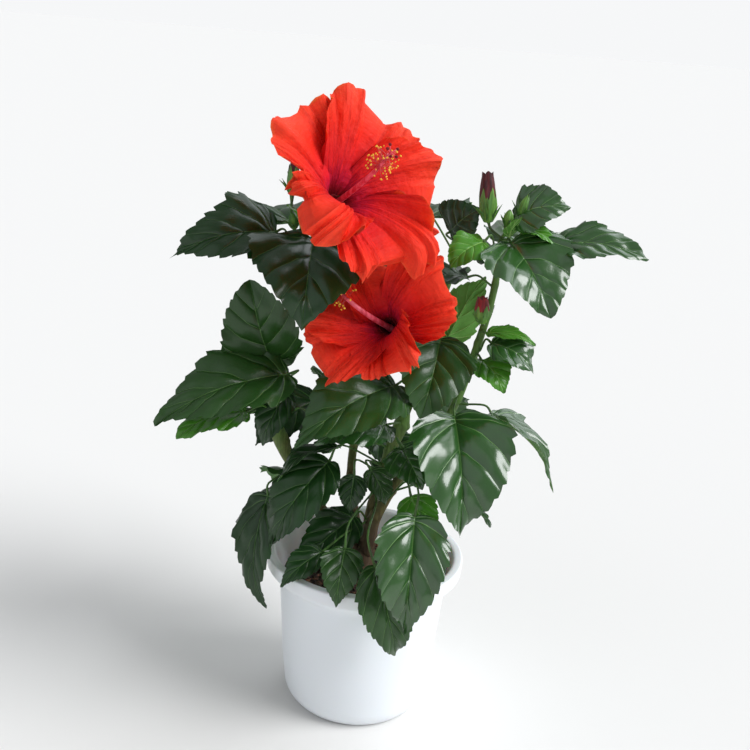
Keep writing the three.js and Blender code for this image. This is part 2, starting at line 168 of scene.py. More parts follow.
def rounded(corners, steps=5):
    """An outline in radius and height whose corners are eased by the distance each one gives."""
    outline = []
    for i, (radius, height, ease) in enumerate(corners):
        here = Vector((radius, height))
        if ease == 0 or i in (0, len(corners) - 1):
            outline.append(tuple(here))
            continue
        before = Vector(corners[i - 1][:2])
        after = Vector(corners[i + 1][:2])
        start = here + (before - here).normalized() * ease
        end = here + (after - here).normalized() * ease
        for k in range(steps + 1):
            t = k / steps
            outline.append(tuple(start * (1 - t) ** 2 + here * 2 * t * (1 - t) + end * t * t))
    return outline


def quads(grid):
    """The faces between the rows of a grid of corners, with no corner named twice in one."""
    corners = np.stack([grid[:-1, :-1], grid[:-1, 1:], grid[1:, 1:], grid[1:, :-1]], axis=-1)
    return [tuple(dict.fromkeys(face)) for face in corners.reshape(-1, 4).tolist()]


def ringed(grid):
    """A grid whose rows close into rings."""
    return np.hstack([grid, grid[:, :1]])


def turned(outline, steps):
    """Vertices and faces of a solid turned about +Z from an outline that ends on the axis twice."""
    points = []
    rings = []
    for radius, height in outline:
        count = 1 if radius < 1e-6 else steps
        rings.append([len(points) + min(k, count - 1) for k in range(steps)])
        for k in range(count):
            turn = 2 * math.pi * k / steps
            points.append((radius * math.cos(turn), radius * math.sin(turn), height))
    return points, quads(ringed(np.array(rings)))


def piece(name, points, faces, materials, slots=None, smooth_angle=50):
    """A new object in place in the frame's metres, shaded smooth up to an angle."""
    mesh = bpy.data.meshes.new(name)
    mesh.from_pydata(np.asarray(points).tolist(), [], faces)
    for material in materials:
        mesh.materials.append(material)
    if slots is not None:
        mesh.polygons.foreach_set("material_index", np.asarray(slots, dtype=np.int32))
    mesh.polygons.foreach_set("use_smooth", [True] * len(mesh.polygons))
    mesh.set_sharp_from_angle(angle=math.radians(smooth_angle))
    mesh.update()
    made = bpy.data.objects.new(name, mesh)
    bpy.context.scene.collection.objects.link(made)
    return made


lip_radius, _, pot_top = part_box("pot")[1]
pot_outline = rounded([
    (0, 0, 0),
    (0.058, 0, 0.003),
    (0.0665, 0.0095, 0.007),
    (0.0703, 0.042, 0.004),
    (0.0768, 0.1265, 0.006),
    (lip_radius - 0.0006, pot_top - 0.0128, 0.0018),
    (lip_radius, pot_top, 0.0022),
    (lip_radius - 0.0085, pot_top, 0.003),
    (0.0768 - POT_WALL, 0.128, 0.006),
    (0.0703 - POT_WALL, 0.042, 0.004),
    (0.0665 - POT_WALL, 0.012, 0.004),
    (0.056, POT_WALL, 0.002),
    (0, POT_WALL, 0),
])


def feed(material, **patterns):
    """Joins patterns to the inputs of a material's shader."""
    shader = material.node_tree.nodes["Principled BSDF"]
    for key, source in patterns.items():
        material.node_tree.links.new(source, shader.inputs[key.replace("_", " ")])


def clouds(material, scale, detail, stretch=None, laid=None, **more):
    """A cloudy pattern laid on a piece in metres, or as it is laid, and drawn out by a stretch."""
    laid = laid or node(material, "ShaderNodeTexCoord").outputs["Object"]
    if stretch:
        laid = node(material, "ShaderNodeMapping", Scale=stretch, Vector=laid).outputs["Vector"]
    made = node(material, "ShaderNodeTexNoise", Scale=scale, Detail=detail, Vector=laid, **more)
    return made.outputs["Fac"]


def ranged(material, value, low, high, least=0.0, most=1.0):
    """A value between two bounds, carried to between two others."""
    bounds = {"From_Min": low, "From_Max": high, "To_Min": least, "To_Max": most}
    return node(material, "ShaderNodeMapRange", Value=value, **bounds).outputs["Result"]


def raised(material, height, strength, distance, **more):
    """The relief that a pattern gives."""
    bump = node(material, "ShaderNodeBump", Strength=strength, Distance=distance, Height=height, **more)
    return bump.outputs["Normal"]


# Polypropylene, moulded: a soft, slightly milky white with an orange-peel skin and dull scuffs.
pot_white = finish("polypropylene_moulded", "#eef1f5", IOR=1.49, Subsurface_Weight=0.05)
scuffs = clouds(pot_white, 60.0, 5.0)
orange_peel = clouds(pot_white, 700.0, 2.0)
feed(
    pot_white,
    Roughness=ranged(pot_white, scuffs, 0.3, 0.7, 0.28, 0.42),
    Normal=raised(pot_white, orange_peel, 0.08, 0.0003),
)
pot = piece("pot_shell", *turned(pot_outline, POT_STEPS), [pot_white])
dress(pot, "pot", "pot")

# ---- Bark mix ----------------------------------------------------------------------------------
# Damp composted pine bark and peat that fills the pot to a finger's width under the lip. The bed
# is one uneven lump, and loose chips and crumbs lie on it, strewn by Geometry Nodes.
SOIL_RISE = 0.0026
SOIL_RADIUS = 0.0738


def soil_relief(x, y):
    """Small heaps and hollows, level where the trunk stands."""
    spot = Vector((x, y, 0))
    level = min(1, max(0, (spot.length - 0.016) / 0.01))
    return SOIL_RISE * level * (noise.noise(spot * 60) + 0.5 * noise.noise(spot * 190))


soil_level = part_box("soil")[1][2] - 0.0012
bed_outline = [(0, 0.0034), (0.055, 0.0034), (0.0635, 0.013), (0.0672, 0.042), (0.0731, 0.116)]
bed_outline += [(SOIL_RADIUS, soil_level - 0.002)]
bed_outline += [(SOIL_RADIUS * (1 - k / 26) ** 0.9, soil_level) for k in range(26)] + [(0, soil_level)]
bed_points, bed_faces = turned(bed_outline, 90)
bed_points = [
    (x, y, z + soil_relief(x, y) if z >= soil_level - 1e-6 else z)
    for x, y, z in bed_points
]


def ramped(material, value, *stops):
    """The colour that a value has among stops, each a place and a colour."""
    ramp = node(material, "ShaderNodeValToRGB", Fac=value)
    marks = ramp.color_ramp.elements
    for mark, stop in ((0, 0), (1, -1)):
        marks[mark].position = stops[stop][0]
        marks[mark].color = linear(stops[stop][1])
    for place, colour in stops[1:-1]:
        marks.new(place).color = linear(colour)
    return ramp.outputs["Color"]


# Composted bark, damp: near black crumbs with some ginger fibre, dull all over.
peat = finish("bark_mix_damp", "#2a1d17", Roughness=0.85)
crumbs = clouds(peat, 330.0, 6.0)
feed(
    peat,
    Base_Color=ramped(peat, crumbs, (0.35, "#17100d"), (0.7, "#4a3325")),
    Normal=raised(peat, crumbs, 0.8, 0.0015),
)
dress(piece("bark_mix_bed", bed_points, bed_faces, [peat]), "bark_mix", "soil")


def two_toned(name, light, dark, grain, relief, stretch=(1.0, 1.0, 1.0), **surface):
    """A matt skin that drifts between two colours in grains of a size, with a relief as deep."""
    material = finish(name, light, **surface)
    cloud = clouds(material, 1 / grain, 4.0, stretch)
    feed(
        material,
        Base_Color=ramped(material, cloud, (0.38, dark), (0.62, light)),
        Normal=raised(material, cloud, 0.5, relief),
    )
    return material


def scattering_tree(name, instances, **sizes):
    """A node tree that stands instances well apart on the faces of a base, and makes them real."""
    tree = bpy.data.node_groups.new(name, "GeometryNodeTree")
    tree.interface.new_socket("Geometry", in_out="INPUT", socket_type="NodeSocketGeometry")
    tree.interface.new_socket("Geometry", in_out="OUTPUT", socket_type="NodeSocketGeometry")
    kinds = {"Spacing": "Float", "Density": "Float", "Seed": "Int", "Finish": "Material", **sizes}
    for size, kind in kinds.items():
        tree.interface.new_socket(size, in_out="INPUT", socket_type="NodeSocket" + kind)
    given = tree.nodes.new("NodeGroupInput").outputs
    result = tree.nodes.new("NodeGroupOutput")
    spots = node(
        tree, "GeometryNodeDistributePointsOnFaces", distribute_method="POISSON", Mesh=given["Geometry"],
        Distance_Min=given["Spacing"], Density_Max=given["Density"], Seed=given["Seed"],
    )
    stood = instances(tree, given, spots.outputs)
    real = node(tree, "GeometryNodeRealizeInstances", Geometry=stood.outputs["Instances"])
    plain = real.outputs["Geometry"]
    done = node(tree, "GeometryNodeSetMaterial", Geometry=plain, Material=given["Finish"])
    tree.links.new(done.outputs["Geometry"], result.inputs["Geometry"])
    return tree


def chance(tree, given, low, high):
    """A random number between two others, or three at once."""
    kind = 0 if isinstance(low, tuple) else 1
    data_type = ("FLOAT_VECTOR", "FLOAT")[kind]
    made = node(tree, "FunctionNodeRandomValue", data_type=data_type, Seed=given["Seed"])
    made.inputs[2 * kind].default_value = low
    made.inputs[2 * kind + 1].default_value = high
    return made.outputs[kind]


def flakes(tree, given, spots):
    """Flakes strewn over a bed: a rough lump squashed to a flake, turned at random."""
    rough = node(tree, "ShaderNodeTexNoise", Scale=2.3, Detail=2.0).outputs["Color"]
    push = node(tree, "ShaderNodeVectorMath", operation="SUBTRACT", input0=rough, input1=(0.5, 0.5, 0.5))
    ball = node(tree, "GeometryNodeMeshIcoSphere", Radius=0.5, Subdivisions=2).outputs["Mesh"]
    uneven = node(tree, "GeometryNodeSetPosition", Geometry=ball, Offset=push.outputs["Vector"])
    flat = node(tree, "ShaderNodeCombineXYZ", X=1.0, Y=0.6, Z=given["Flatness"]).outputs["Vector"]
    flake = node(tree, "GeometryNodeTransform", Geometry=uneven.outputs["Geometry"], Scale=flat)
    turn = chance(tree, given, (-0.6, -0.6, 0.0), (0.6, 0.6, 6.3))
    size = chance(tree, given, 0.5, 1.3)
    scale = node(tree, "ShaderNodeMath", operation="MULTIPLY", input0=size, input1=given["Length"])
    return node(
        tree, "GeometryNodeInstanceOnPoints", Points=spots["Points"], Instance=flake.outputs["Geometry"],
        Rotation=turn, Scale=scale.outputs["Value"],
    )


def grown_by(tree, name, base, **values):
    """The plain mesh that a node tree makes from a base mesh, with its inputs set by name."""
    carrier = bpy.data.objects.new(name + "_base", base)
    bpy.context.scene.collection.objects.link(carrier)
    modifier = carrier.modifiers.new("grow", "NODES")
    modifier.node_group = tree
    for item in tree.interface.items_tree:
        if item.in_out == "INPUT" and item.name in values:
            modifier[item.identifier] = values[item.name]
    bpy.context.view_layer.update()
    ready = carrier.evaluated_get(bpy.context.evaluated_depsgraph_get())
    mesh = bpy.data.meshes.new_from_object(ready)
    mesh.name = name
    made = bpy.data.objects.new(name, mesh)
    bpy.context.scene.collection.objects.link(made)
    bpy.data.objects.remove(carrier)
    return made


def is_open(face):
    """Whether a face of the bed lies on top of it, clear of the trunk and of the wall."""
    reach = [math.hypot(*bed_points[v][:2]) for v in face]
    high = all(bed_points[v][2] > soil_level - 0.0045 for v in face)
    return high and min(reach) > 0.019 and max(reach) < 0.071


bed_top = bpy.data.meshes.new("bed_top")
bed_top.from_pydata(bed_points, [], [face for face in bed_faces if is_open(face)])
strewing = scattering_tree("strewn_chips", flakes, Length="Float", Flatness="Float")
CHIPS = {
    # name: spacing, length, flatness, seed, light, dark
    "bark_chips_ginger": (0.0062, 0.0105, 0.34, 3, "#8a5c44", "#4a2c20"),
    "bark_chips_brown": (0.0045, 0.0075, 0.4, 11, "#5c3f30", "#2a1b15"),
    "peat_crumbs": (0.0026, 0.0036, 0.7, 23, "#3a2820", "#160f0c"),
}
for chip_name, (spacing, length, flatness, seed, light, dark) in CHIPS.items():
    chips = grown_by(
        strewing, chip_name, bed_top, Density=1.2 / spacing**2, Spacing=spacing, Length=length,
        Flatness=flatness, Seed=seed,
        Finish=two_toned(chip_name + "_broken", light, dark, 0.007, 0.0008, Roughness=0.8),
    )
    dress(chips, "bark_mix")

# ---- Trunk and stems ---------------------------------------------------------------------------
# The living wood: a short trunk that forks low into four stems. The old wood is grey-brown with
# fine cracks and corky dots, and turns through olive to smooth green where the stem is young.
def shape_of(name):
    """A node's corners, each once, and which of them share a face."""
    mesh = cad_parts[name].data
    corners = np.array([v.co[:] for v in mesh.vertices])
    points, number = np.unique(corners.round(6), axis=0, return_inverse=True)
    number = number.ravel()
    beside = [set() for _ in points]
    for face in mesh.polygons:
        ids = [int(number[v]) for v in face.vertices]
        for a in ids:
            beside[a].update(ids)
    return points, beside


def rings_of(name, end, cap):
    """A lofted node's rings, from the one whose corners lie within cap of its end corner."""
    points, beside = shape_of(name)
    first = points[np.argmin(np.linalg.norm(points - np.asarray(end), axis=1))]
    ring = set(np.flatnonzero(np.linalg.norm(points - first, axis=1) < cap).tolist())
    seen = set(ring)
    rings = []
    while ring:
        rings.append(points[sorted(ring)])
        ring = set().union(*(beside[i] for i in ring)) - seen
        seen |= ring
    return rings


def smooth_line(knots, count):
    """Evenly numbered points on the smooth line through the knots."""
    knots = np.asarray(knots, dtype=float)
    padded = np.vstack([2 * knots[0] - knots[1], knots, 2 * knots[-1] - knots[-2]])
    at = np.linspace(0, len(knots) - 1, count)
    leg = np.minimum(at.astype(int), len(knots) - 2)
    t = (at - leg)[:, None]
    a, b, c, d = (padded[leg + k] for k in range(4))
    return 0.5 * (2 * b + (c - a) * t + (2 * a - 5 * b + 4 * c - d) * t**2 + (3 * b - a - 3 * c + d) * t**3)


def unit(vectors):
    return vectors / np.maximum(np.linalg.norm(vectors, axis=-1, keepdims=True), 1e-12)


def headings(line):
    return unit(np.gradient(np.asarray(line), axis=0))


def distances(line):
    """How far along a line each of its points lies."""
    return np.concatenate([[0], np.cumsum(np.linalg.norm(np.diff(line, axis=0), axis=1))])


def tube(line, radii, sides, relief=None, start=(1.0, 0.2, 0.1)):
    """Points and faces of a closed tube along a line; relief(i, turn) scales its radius."""
    line = np.asarray(line)
    along = headings(line)
    across = [np.asarray(start, dtype=float)]
    for heading in along:  # carried along without twist
        across.append(unit(across[-1] - heading * (across[-1] @ heading)))
    across = np.array(across[1:])
    upright = np.cross(along, across)
    turns = 2 * np.pi * np.arange(sides) / sides
    scale = np.ones((len(line), sides))
    if relief:
        scale = np.array([[relief(i, turn) for turn in turns] for i in range(len(line))])
    spokes = across[:, None] * np.cos(turns)[:, None] + upright[:, None] * np.sin(turns)[:, None]
    points = line[:, None] + spokes * (np.asarray(radii)[:, None] * scale)[:, :, None]
    points = points.reshape(-1, 3).tolist() + [line[0].tolist(), line[-1].tolist()]
    foot = len(line) * sides
    faces = quads(ringed(np.arange(foot).reshape(-1, sides)))
    for k in range(sides):
        n = (k + 1) % sides
        faces += [(foot, n, k), (foot + 1, foot - sides + k, foot - sides + n)]
    return points, faces


class Joined:
    """Gathers many small shapes of one kind into one mesh."""

    def __init__(self):
        self.points = []
        self.faces = []
        self.slots = []

    def add(self, points, faces, slots=0):
        first = len(self.points)
        self.points.extend(points)
        self.faces.extend(tuple(first + v for v in face) for face in faces)
        self.slots.extend([slots] * len(faces) if isinstance(slots, int) else slots)

    def made(self, name, materials, slot, replaced=(), smooth_angle=50):
        done = piece(name, self.points, self.faces, materials, self.slots, smooth_angle)
        dress(done, slot, *replaced)


LIMBS = [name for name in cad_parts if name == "trunk" or name.startswith("stem_")]
limb_lines = {}
limb_radii = {}
for limb_name in LIMBS:
    corners = shape_of(limb_name)[0]
    found = rings_of(limb_name, corners[np.argmax(corners[:, 2])], 0.0075)[::-1]
    while len(found) > 2 and len(found[0]) < 5:
        found = found[1:]
    centres = np.array([ring.mean(axis=0) for ring in found])
    limb_lines[limb_name] = centres
    limb_radii[limb_name] = np.array([np.linalg.norm(r - c, axis=1).mean() for r, c in zip(found, centres)])


def on_limb(name, height):
    """The centre of a limb at a height."""
    line = smooth_line(limb_lines[name], 60)
    return line[np.argmin(np.abs(line[:, 2] - height))]


def strayed(material, value, pattern, swing):
    """A value that strays by a pattern, over a swing in all."""
    kind = "ShaderNodeMath"
    drift = node(material, kind, operation="MULTIPLY_ADD", input0=pattern, input1=swing, input2=-swing / 2)
    strayed_to = node(material, kind, operation="ADD", input0=value, input1=drift.outputs["Value"])
    return strayed_to.outputs["Value"]


def dimmed(material, colour, share):
    """A colour made brighter or darker by a pattern."""
    made = node(material, "ShaderNodeVectorMath", operation="SCALE", input0=colour, Scale=share)
    return made.outputs["Vector"]


# Young hibiscus bark: satin green skin that turns brown, cracked and corky on the older wood.
bark = finish("hibiscus_bark_living", "#6b6340", Roughness=0.6)
place = node(bark, "ShaderNodeTexCoord").outputs["Object"]
height = node(bark, "ShaderNodeSeparateXYZ", Vector=place).outputs["Z"]
cracks = clouds(bark, 1.0, 6.0, (520.0, 520.0, 60.0))
patches = clouds(bark, 45.0, 3.0)
youth = ranged(bark, strayed(bark, height, patches, 0.12), 0.15, 0.3)
aged = ramped(bark, youth, (0.0, "#6a5644"), (0.35, "#6d6338"), (0.7, "#5f7a35"), (1.0, "#5d8437"))
feed(
    bark,
    Base_Color=dimmed(bark, aged, ranged(bark, cracks, 0.3, 0.65, 0.55, 1.1)),
    Normal=raised(bark, cracks, 0.35, 0.0008),
)

STEM_STEP = 0.0016
STEM_SIDES = 22
STEM_SLIMNESS = 0.88
NODE_SPACING = 0.027


def stem_relief(line, radii, youth_height):
    """Ribs and cracks on old wood, and a swelling with a scar wherever a leaf grew."""
    travelled = distances(line)

    def relief(i, turn):
        x, y, z = line[i]
        old = min(1, max(0, (youth_height - z) / 0.1))
        spot = Vector((math.cos(turn) * 1.6, math.sin(turn) * 1.6, z * 38))
        rough = 0.085 * old * noise.noise(spot * 1.4) + 0.03 * noise.noise(spot * 3.1)
        count = travelled[i] / NODE_SPACING
        near = abs(count - round(count)) * NODE_SPACING
        facing = 0.5 + 0.5 * math.cos(turn - 2.4 * round(count))
        swell = 0.2 * math.exp(-((near / 0.0026) ** 2)) * facing
        return 1 + rough + swell

    return relief


for wood_name in ("trunk", "stem_left", "stem_middle", "stem_right", "stem_back"):
    parts = sorted(limb for limb in LIMBS if limb.startswith(wood_name))
    knots = np.vstack([limb_lines[part] for part in parts])
    girth = np.concatenate([limb_radii[part] for part in parts])
    if wood_name != "trunk":
        knots = np.vstack([limb_lines["trunk"].mean(axis=0), knots])
        girth = np.concatenate([[girth[0]], girth])
    count = int(distances(knots)[-1] / STEM_STEP)
    line = smooth_line(knots, count)
    radii = STEM_SLIMNESS * np.interp(np.linspace(0, 1, count), np.linspace(0, 1, len(girth)), girth)
    tip_fade = np.clip((count - np.arange(count)) / 3, 0.35, 1)
    wood = Joined()
    wood.add(*tube(line, radii * tip_fade, STEM_SIDES, stem_relief(line, radii, 0.26)))
    wood.made(wood_name + "_wood", [bark], "bark", parts)

# ---- Leaves ------------------------------------------------------------------------------------
# Leathery evergreen leaves, ovate with coarse forward teeth and a long tip. Each is a closed thin
# shell that puffs up between its sunken veins; its waxy face is dark, its back dull and paler.
LEAF_THICKNESS = 0.0004
MIDRIB_WIDTH = 0.0005
VEIN_WIDTH = 0.00033
# Each side vein: where it leaves the midrib, where it meets the edge, and its strength.
VEINS = (
    (0.0, 0.16, 0.5), (0.012, 0.36, 1.0), (0.024, 0.58, 1.0), (0.3, 0.73, 0.75), (0.5, 0.85, 0.6),
    (0.69, 0.93, 0.45),
)
ROWS_BETWEEN = (3, 5, 5, 5, 4, 4, 3)
LEAF_COLUMNS = 8
OUTLINE_RISE = 0.9
TOOTH_ROWS = 3


def leaf_rows():
    """Each row's start on the midrib, end on the edge, step off its vein, strength and puff."""
    stops = [(0.0, 0.0, 0.0), *VEINS, (1.0, 1.0, 0.0)]
    rows = []
    for k, count in enumerate(ROWS_BETWEEN):
        (m0, t0, _), (m1, t1, strength) = stops[k], stops[k + 1]
        for i in range(1, count + 1):
            f = i / (count + 1)
            rows.append((m0 + (m1 - m0) * f, t0 + (t1 - t0) * f, 0, 0, math.sin(math.pi * f) ** 0.7, k))
        if k < len(VEINS):
            rows += [(m1, t1, step, strength, 0.0, k) for step in (-1, 0, 1)]
    return np.array(rows)


def leaf_faces(rows, columns):
    """Faces of a leaf's two sheets, which share the edge and both ends, and their slots."""
    half = (columns - 1) // 2
    top = np.arange(rows.shape[0] * columns).reshape(-1, columns)
    foot, tip = top.size, top.size + 1
    under = top.copy()
    under[:, 1:-1] = top.size + 2 + np.arange(top.shape[0] * (columns - 2)).reshape(-1, columns - 2)
    steps = rows[:, 2]
    faces = []
    slots = []
    for sheet, kind in ((top, 0), (under, 2)):
        for i in range(len(top) - 1):
            vein = rows[i, 3] > 0 and rows[i + 1, 3] > 0 and steps[i + 1] > steps[i]
            for j in range(columns - 1):
                a, b, c, d = sheet[i, j], sheet[i + 1, j], sheet[i + 1, j + 1], sheet[i, j + 1]
                faces.append((a, b, c, d) if kind == 0 else (a, d, c, b))
                slots.append(kind + int(vein or j in (half - 1, half)))
        for j in range(columns - 1):
            ends = ((foot, sheet[0, j], sheet[0, j + 1]), (tip, sheet[-1, j + 1], sheet[-1, j]))
            for face in ends:
                faces.append(face if kind == 0 else face[::-1])
                slots.append(kind + int(j in (half - 1, half)))
    return [tuple(int(v) for v in face) for face in faces], np.array(slots)


LEAF_ROWS = leaf_rows()
LEAF_FACES, LEAF_SLOTS = leaf_faces(LEAF_ROWS, 2 * LEAF_COLUMNS + 3)


def half_leaf(leaf, length, rng):
    """One half laid flat: how far along, how far across and how high each corner lies."""
    starts, ends, steps, strength, puff, part = LEAF_ROWS.T
    width = leaf["half"]
    taper = leaf.get("taper", 1.05)
    peak = OUTLINE_RISE / (OUTLINE_RISE + taper)
    top = peak**OUTLINE_RISE * (1 - peak) ** taper
    starts = np.maximum.accumulate(starts + 0.0022 * np.arange(len(starts)) * (starts < 0.05))

    def outline(t):
        along = t**1.5 - 1.2 * t * np.exp(-t / 0.08)
        return np.stack([along * length, t**OUTLINE_RISE * (1 - t) ** taper / top * width], axis=-1)

    edge = outline(ends)
    heading = unit(outline(np.minimum(ends + 0.004, 1)) - outline(np.maximum(ends - 0.004, 0)))
    outward = np.stack([-heading[:, 1], heading[:, 0]], axis=-1)
    stop = np.cumsum(steps == 0) + (steps == -1)
    beat = stop % TOOTH_ROWS
    shape_out = np.array([-0.55, 0.15, 0.6])[beat]
    shape_on = np.array([-0.25, 0.1, 0.6])[beat]
    lengths = rng.uniform(0.75, 1.25, len(ends) + 1)[stop // TOOTH_ROWS]
    depth = leaf.get("teeth", 0.042) * length * lengths
    depth = depth * np.clip((ends - 0.27) / 0.12, 0, 1) * (1.15 - ends)
    tooth = outward * (depth * shape_out)[:, None] + heading * (depth * shape_on)[:, None]

    rib = MIDRIB_WIDTH * (1.15 - starts)
    first = np.stack([starts * length + steps * 0.00006, rib], axis=-1)
    reach = edge - first
    lean = np.radians(15) * np.clip(1.3 - ends, 0.2, 1)
    bent = np.stack([
        reach[:, 0] * np.cos(lean) - reach[:, 1] * np.sin(lean),
        reach[:, 0] * np.sin(lean) + reach[:, 1] * np.cos(lean),
    ], axis=-1)
    control = first + 0.52 * bent
    r = (np.arange(LEAF_COLUMNS + 1) / LEAF_COLUMNS) ** 0.92
    q = r[None, :, None]
    flat = (1 - q) ** 2 * first[:, None] + 2 * q * (1 - q) * control[:, None] + q * q * edge[:, None]
    slope = unit(2 * (1 - q) * (control - first)[:, None] + 2 * q * (edge - control)[:, None])
    strip = VEIN_WIDTH * strength[:, None] * np.minimum(1, r / 0.2) * (1 - 0.7 * r)
    aside = np.stack([slope[..., 1], -slope[..., 0]], axis=-1) * (strip * steps[:, None])[..., None]
    centre_rows = np.flatnonzero((steps == 0) & (strength > 0))
    bounds = np.concatenate([[0], centre_rows, [len(ends) - 1]])
    before = flat[bounds[part.astype(int)]]
    after = flat[bounds[part.astype(int) + 1]]
    spacing = np.linalg.norm(after - before, axis=-1)
    flat = flat + aside + tooth[:, None] * (r**5)[None, :, None]

    across = flat[..., 1]
    along = flat[..., 0]
    near_rib = np.clip(across / 0.004, 0, 1)
    pillow = 0.075 * spacing * puff[:, None] * (1 - 0.8 * r**5) * near_rib**0.6
    groove = -0.00028 * (strength * (steps == 0) * (puff == 0))[:, None] * (1 - 0.5 * r)
    phase = rng.uniform(0, 2 * np.pi, 5)
    edge_wave = leaf.get("wave", 0.09) * width * r**2.2 * np.sin(2 * np.pi * 2.6 * ends[:, None] + phase[0])
    edge_wave = edge_wave + 0.035 * width * r**4 * np.sin(2 * np.pi * 6.2 * ends[:, None] + phase[1])
    dimple = 0.00045 * np.sin(along / 0.0026 + phase[2]) * np.sin(across / 0.0023 + phase[3]) * near_rib
    dimple = dimple + 0.0009 * np.sin(along / 0.0052 + across / 0.0061 + phase[4]) * near_rib
    fold = leaf["cup"] * across * (1 - 0.3 * r)
    return along, across, fold + pillow + groove + edge_wave + dimple * (1 - r**6)


def carried(at, travelled, values):
    """What the values along a line are at each place on it."""
    return np.stack([np.interp(at, travelled, values[:, k]) for k in range(3)], axis=-1)


def nearest(points, spot):
    return points[np.argmin(np.linalg.norm(points - spot, axis=1))]


def leaf_shell(leaf):
    """Points of one leaf, bent along its midrib line."""
    rng = np.random.default_rng(leaf["seed"])
    midrib = leaf["midrib"]
    travelled = distances(midrib)
    length = travelled[-1]
    left = half_leaf(leaf, length, rng)
    right = half_leaf(leaf, length, rng)
    starts = (left[0][:, 0] + right[0][:, 0]) / 2
    middle = [starts[:, None], 0 * starts[:, None], (-0.0003 * (1 - starts / length))[:, None]]
    along = np.hstack([left[0][:, ::-1], middle[0], right[0]])
    across = np.hstack([-left[1][:, ::-1], middle[1], right[1]])
    lift = np.hstack([left[2][:, ::-1], middle[2], right[2]])
    thick = np.full_like(lift, LEAF_THICKNESS)
    columns = along.shape[1]
    middle_column = columns // 2
    strength = LEAF_ROWS[:, 3] * (LEAF_ROWS[:, 2] == 0)
    thick[:, 2:-2] += 0.00035 * strength[:, None]
    thick[:, middle_column] += 0.0009 * (1.05 - starts / length)

    heading = headings(midrib)
    up = unit(leaf["up"] - heading * (heading @ leaf["up"])[:, None])

    def lay(on, off, high):
        at = np.clip(on, 0, length)
        centre = carried(at, travelled, midrib)
        ahead = unit(carried(at, travelled, heading))
        rise = unit(carried(at, travelled, up))
        side = np.cross(rise, ahead)
        turn = (leaf.get("twist", 0.0) * (at / length - 0.3))[..., None]
        side, rise = side * np.cos(turn) + rise * np.sin(turn), rise * np.cos(turn) - side * np.sin(turn)
        roll = leaf.get("roll", 0.0) / leaf["half"]
        if roll:
            angle = off * roll
            off, high = np.sin(angle) / roll, high + (1 - np.cos(angle)) / roll
        return centre + ahead * (on - at)[..., None] + side * off[..., None] + rise * high[..., None]

    sheet = lay(along, across, lift)
    below = lay(along, across, lift - thick)[:, 1:-1]
    poles = lay(np.array([-0.0006, length]), np.zeros(2), np.array([-0.0005, 0.0]))
    return np.vstack([sheet.reshape(-1, 3), poles, below.reshape(-1, 3)])


wood_points = np.vstack([smooth_line(limb_lines[limb], 90) for limb in LIMBS])
# How a packed leaf is lofted: its steps, the sides of its rings, and its outline.
CAD_STEPS = 6
CAD_SIDES = 6
CAD_SKEW = 0.62
CAD_FULLNESS = 0.8


def read_leaf(name):
    """A foliage node's stalk, midrib, upper side and half width, from its clean rings."""
    points = shape_of(name)[0]
    gaps = np.array([np.linalg.norm(wood_points - p, axis=1).min() for p in points])
    foot = points[np.argmin(gaps)]
    tip = points[np.argmax(np.linalg.norm(points - foot, axis=1))]
    rings = rings_of(name, tip, 0.0046)
    clean = [k for k, ring in enumerate(rings[: CAD_STEPS + 1]) if len(ring) == CAD_SIDES]
    share = 1 - np.array(clean) / CAD_STEPS
    centres = np.array([rings[k].mean(axis=0) for k in clean])
    terms = np.stack([np.ones_like(share), share, np.sin(np.pi * share)], axis=1)
    neck, reach, arch = np.linalg.lstsq(terms, centres, rcond=None)[0]
    halves = []
    for u, k in zip(share, clean):
        gap = np.linalg.norm(rings[k][:, None] - rings[k][None], axis=2).max() / 2
        full = math.sin(math.pi * u**CAD_SKEW) ** CAD_FULLNESS if 0 < u < 1 else 0
        if full > 0.4:
            halves.append(gap / full)
    return {
        "name": name, "neck": neck, "reach": reach, "arch": arch, "foot": foot,
        "root": nearest(wood_points, foot), "half": float(np.mean(halves)),
    }


def bowed(neck, reach, arch, droop=0.0, count=24):
    """The midrib: from the neck along its reach, raised in the middle, its end bent down."""
    share = np.linspace(0, 1, count)[:, None]
    up = unit(arch)
    end_bend = -droop * np.linalg.norm(reach) * np.clip(share - 0.6, 0, 1) ** 2 / 0.16
    return neck + reach * share + arch * np.sin(np.pi * share) + up * end_bend


masses = sorted(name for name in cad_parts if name.startswith("foliage_"))
# Leaves that differ from most: how their tip tapers, and how deep they fold along the midrib.
LEAF_HABITS = {
    "foliage_left_upright": {"taper": 0.78, "teeth": 0.055},
    "foliage_upper_left": {"taper": 1.45, "teeth": 0.055},
    "foliage_left_lowest": {"taper": 1.4},
    "foliage_right_edge": {"taper": 1.4, "cup": 0.35},
    "foliage_right_big": {"cup": 0.5},
    "foliage_front_big": {"cup": 0.45},
    "foliage_right_glossy": {"cup": 0.38},
    "foliage_by_lower_bloom": {"cup": 0.35},
}
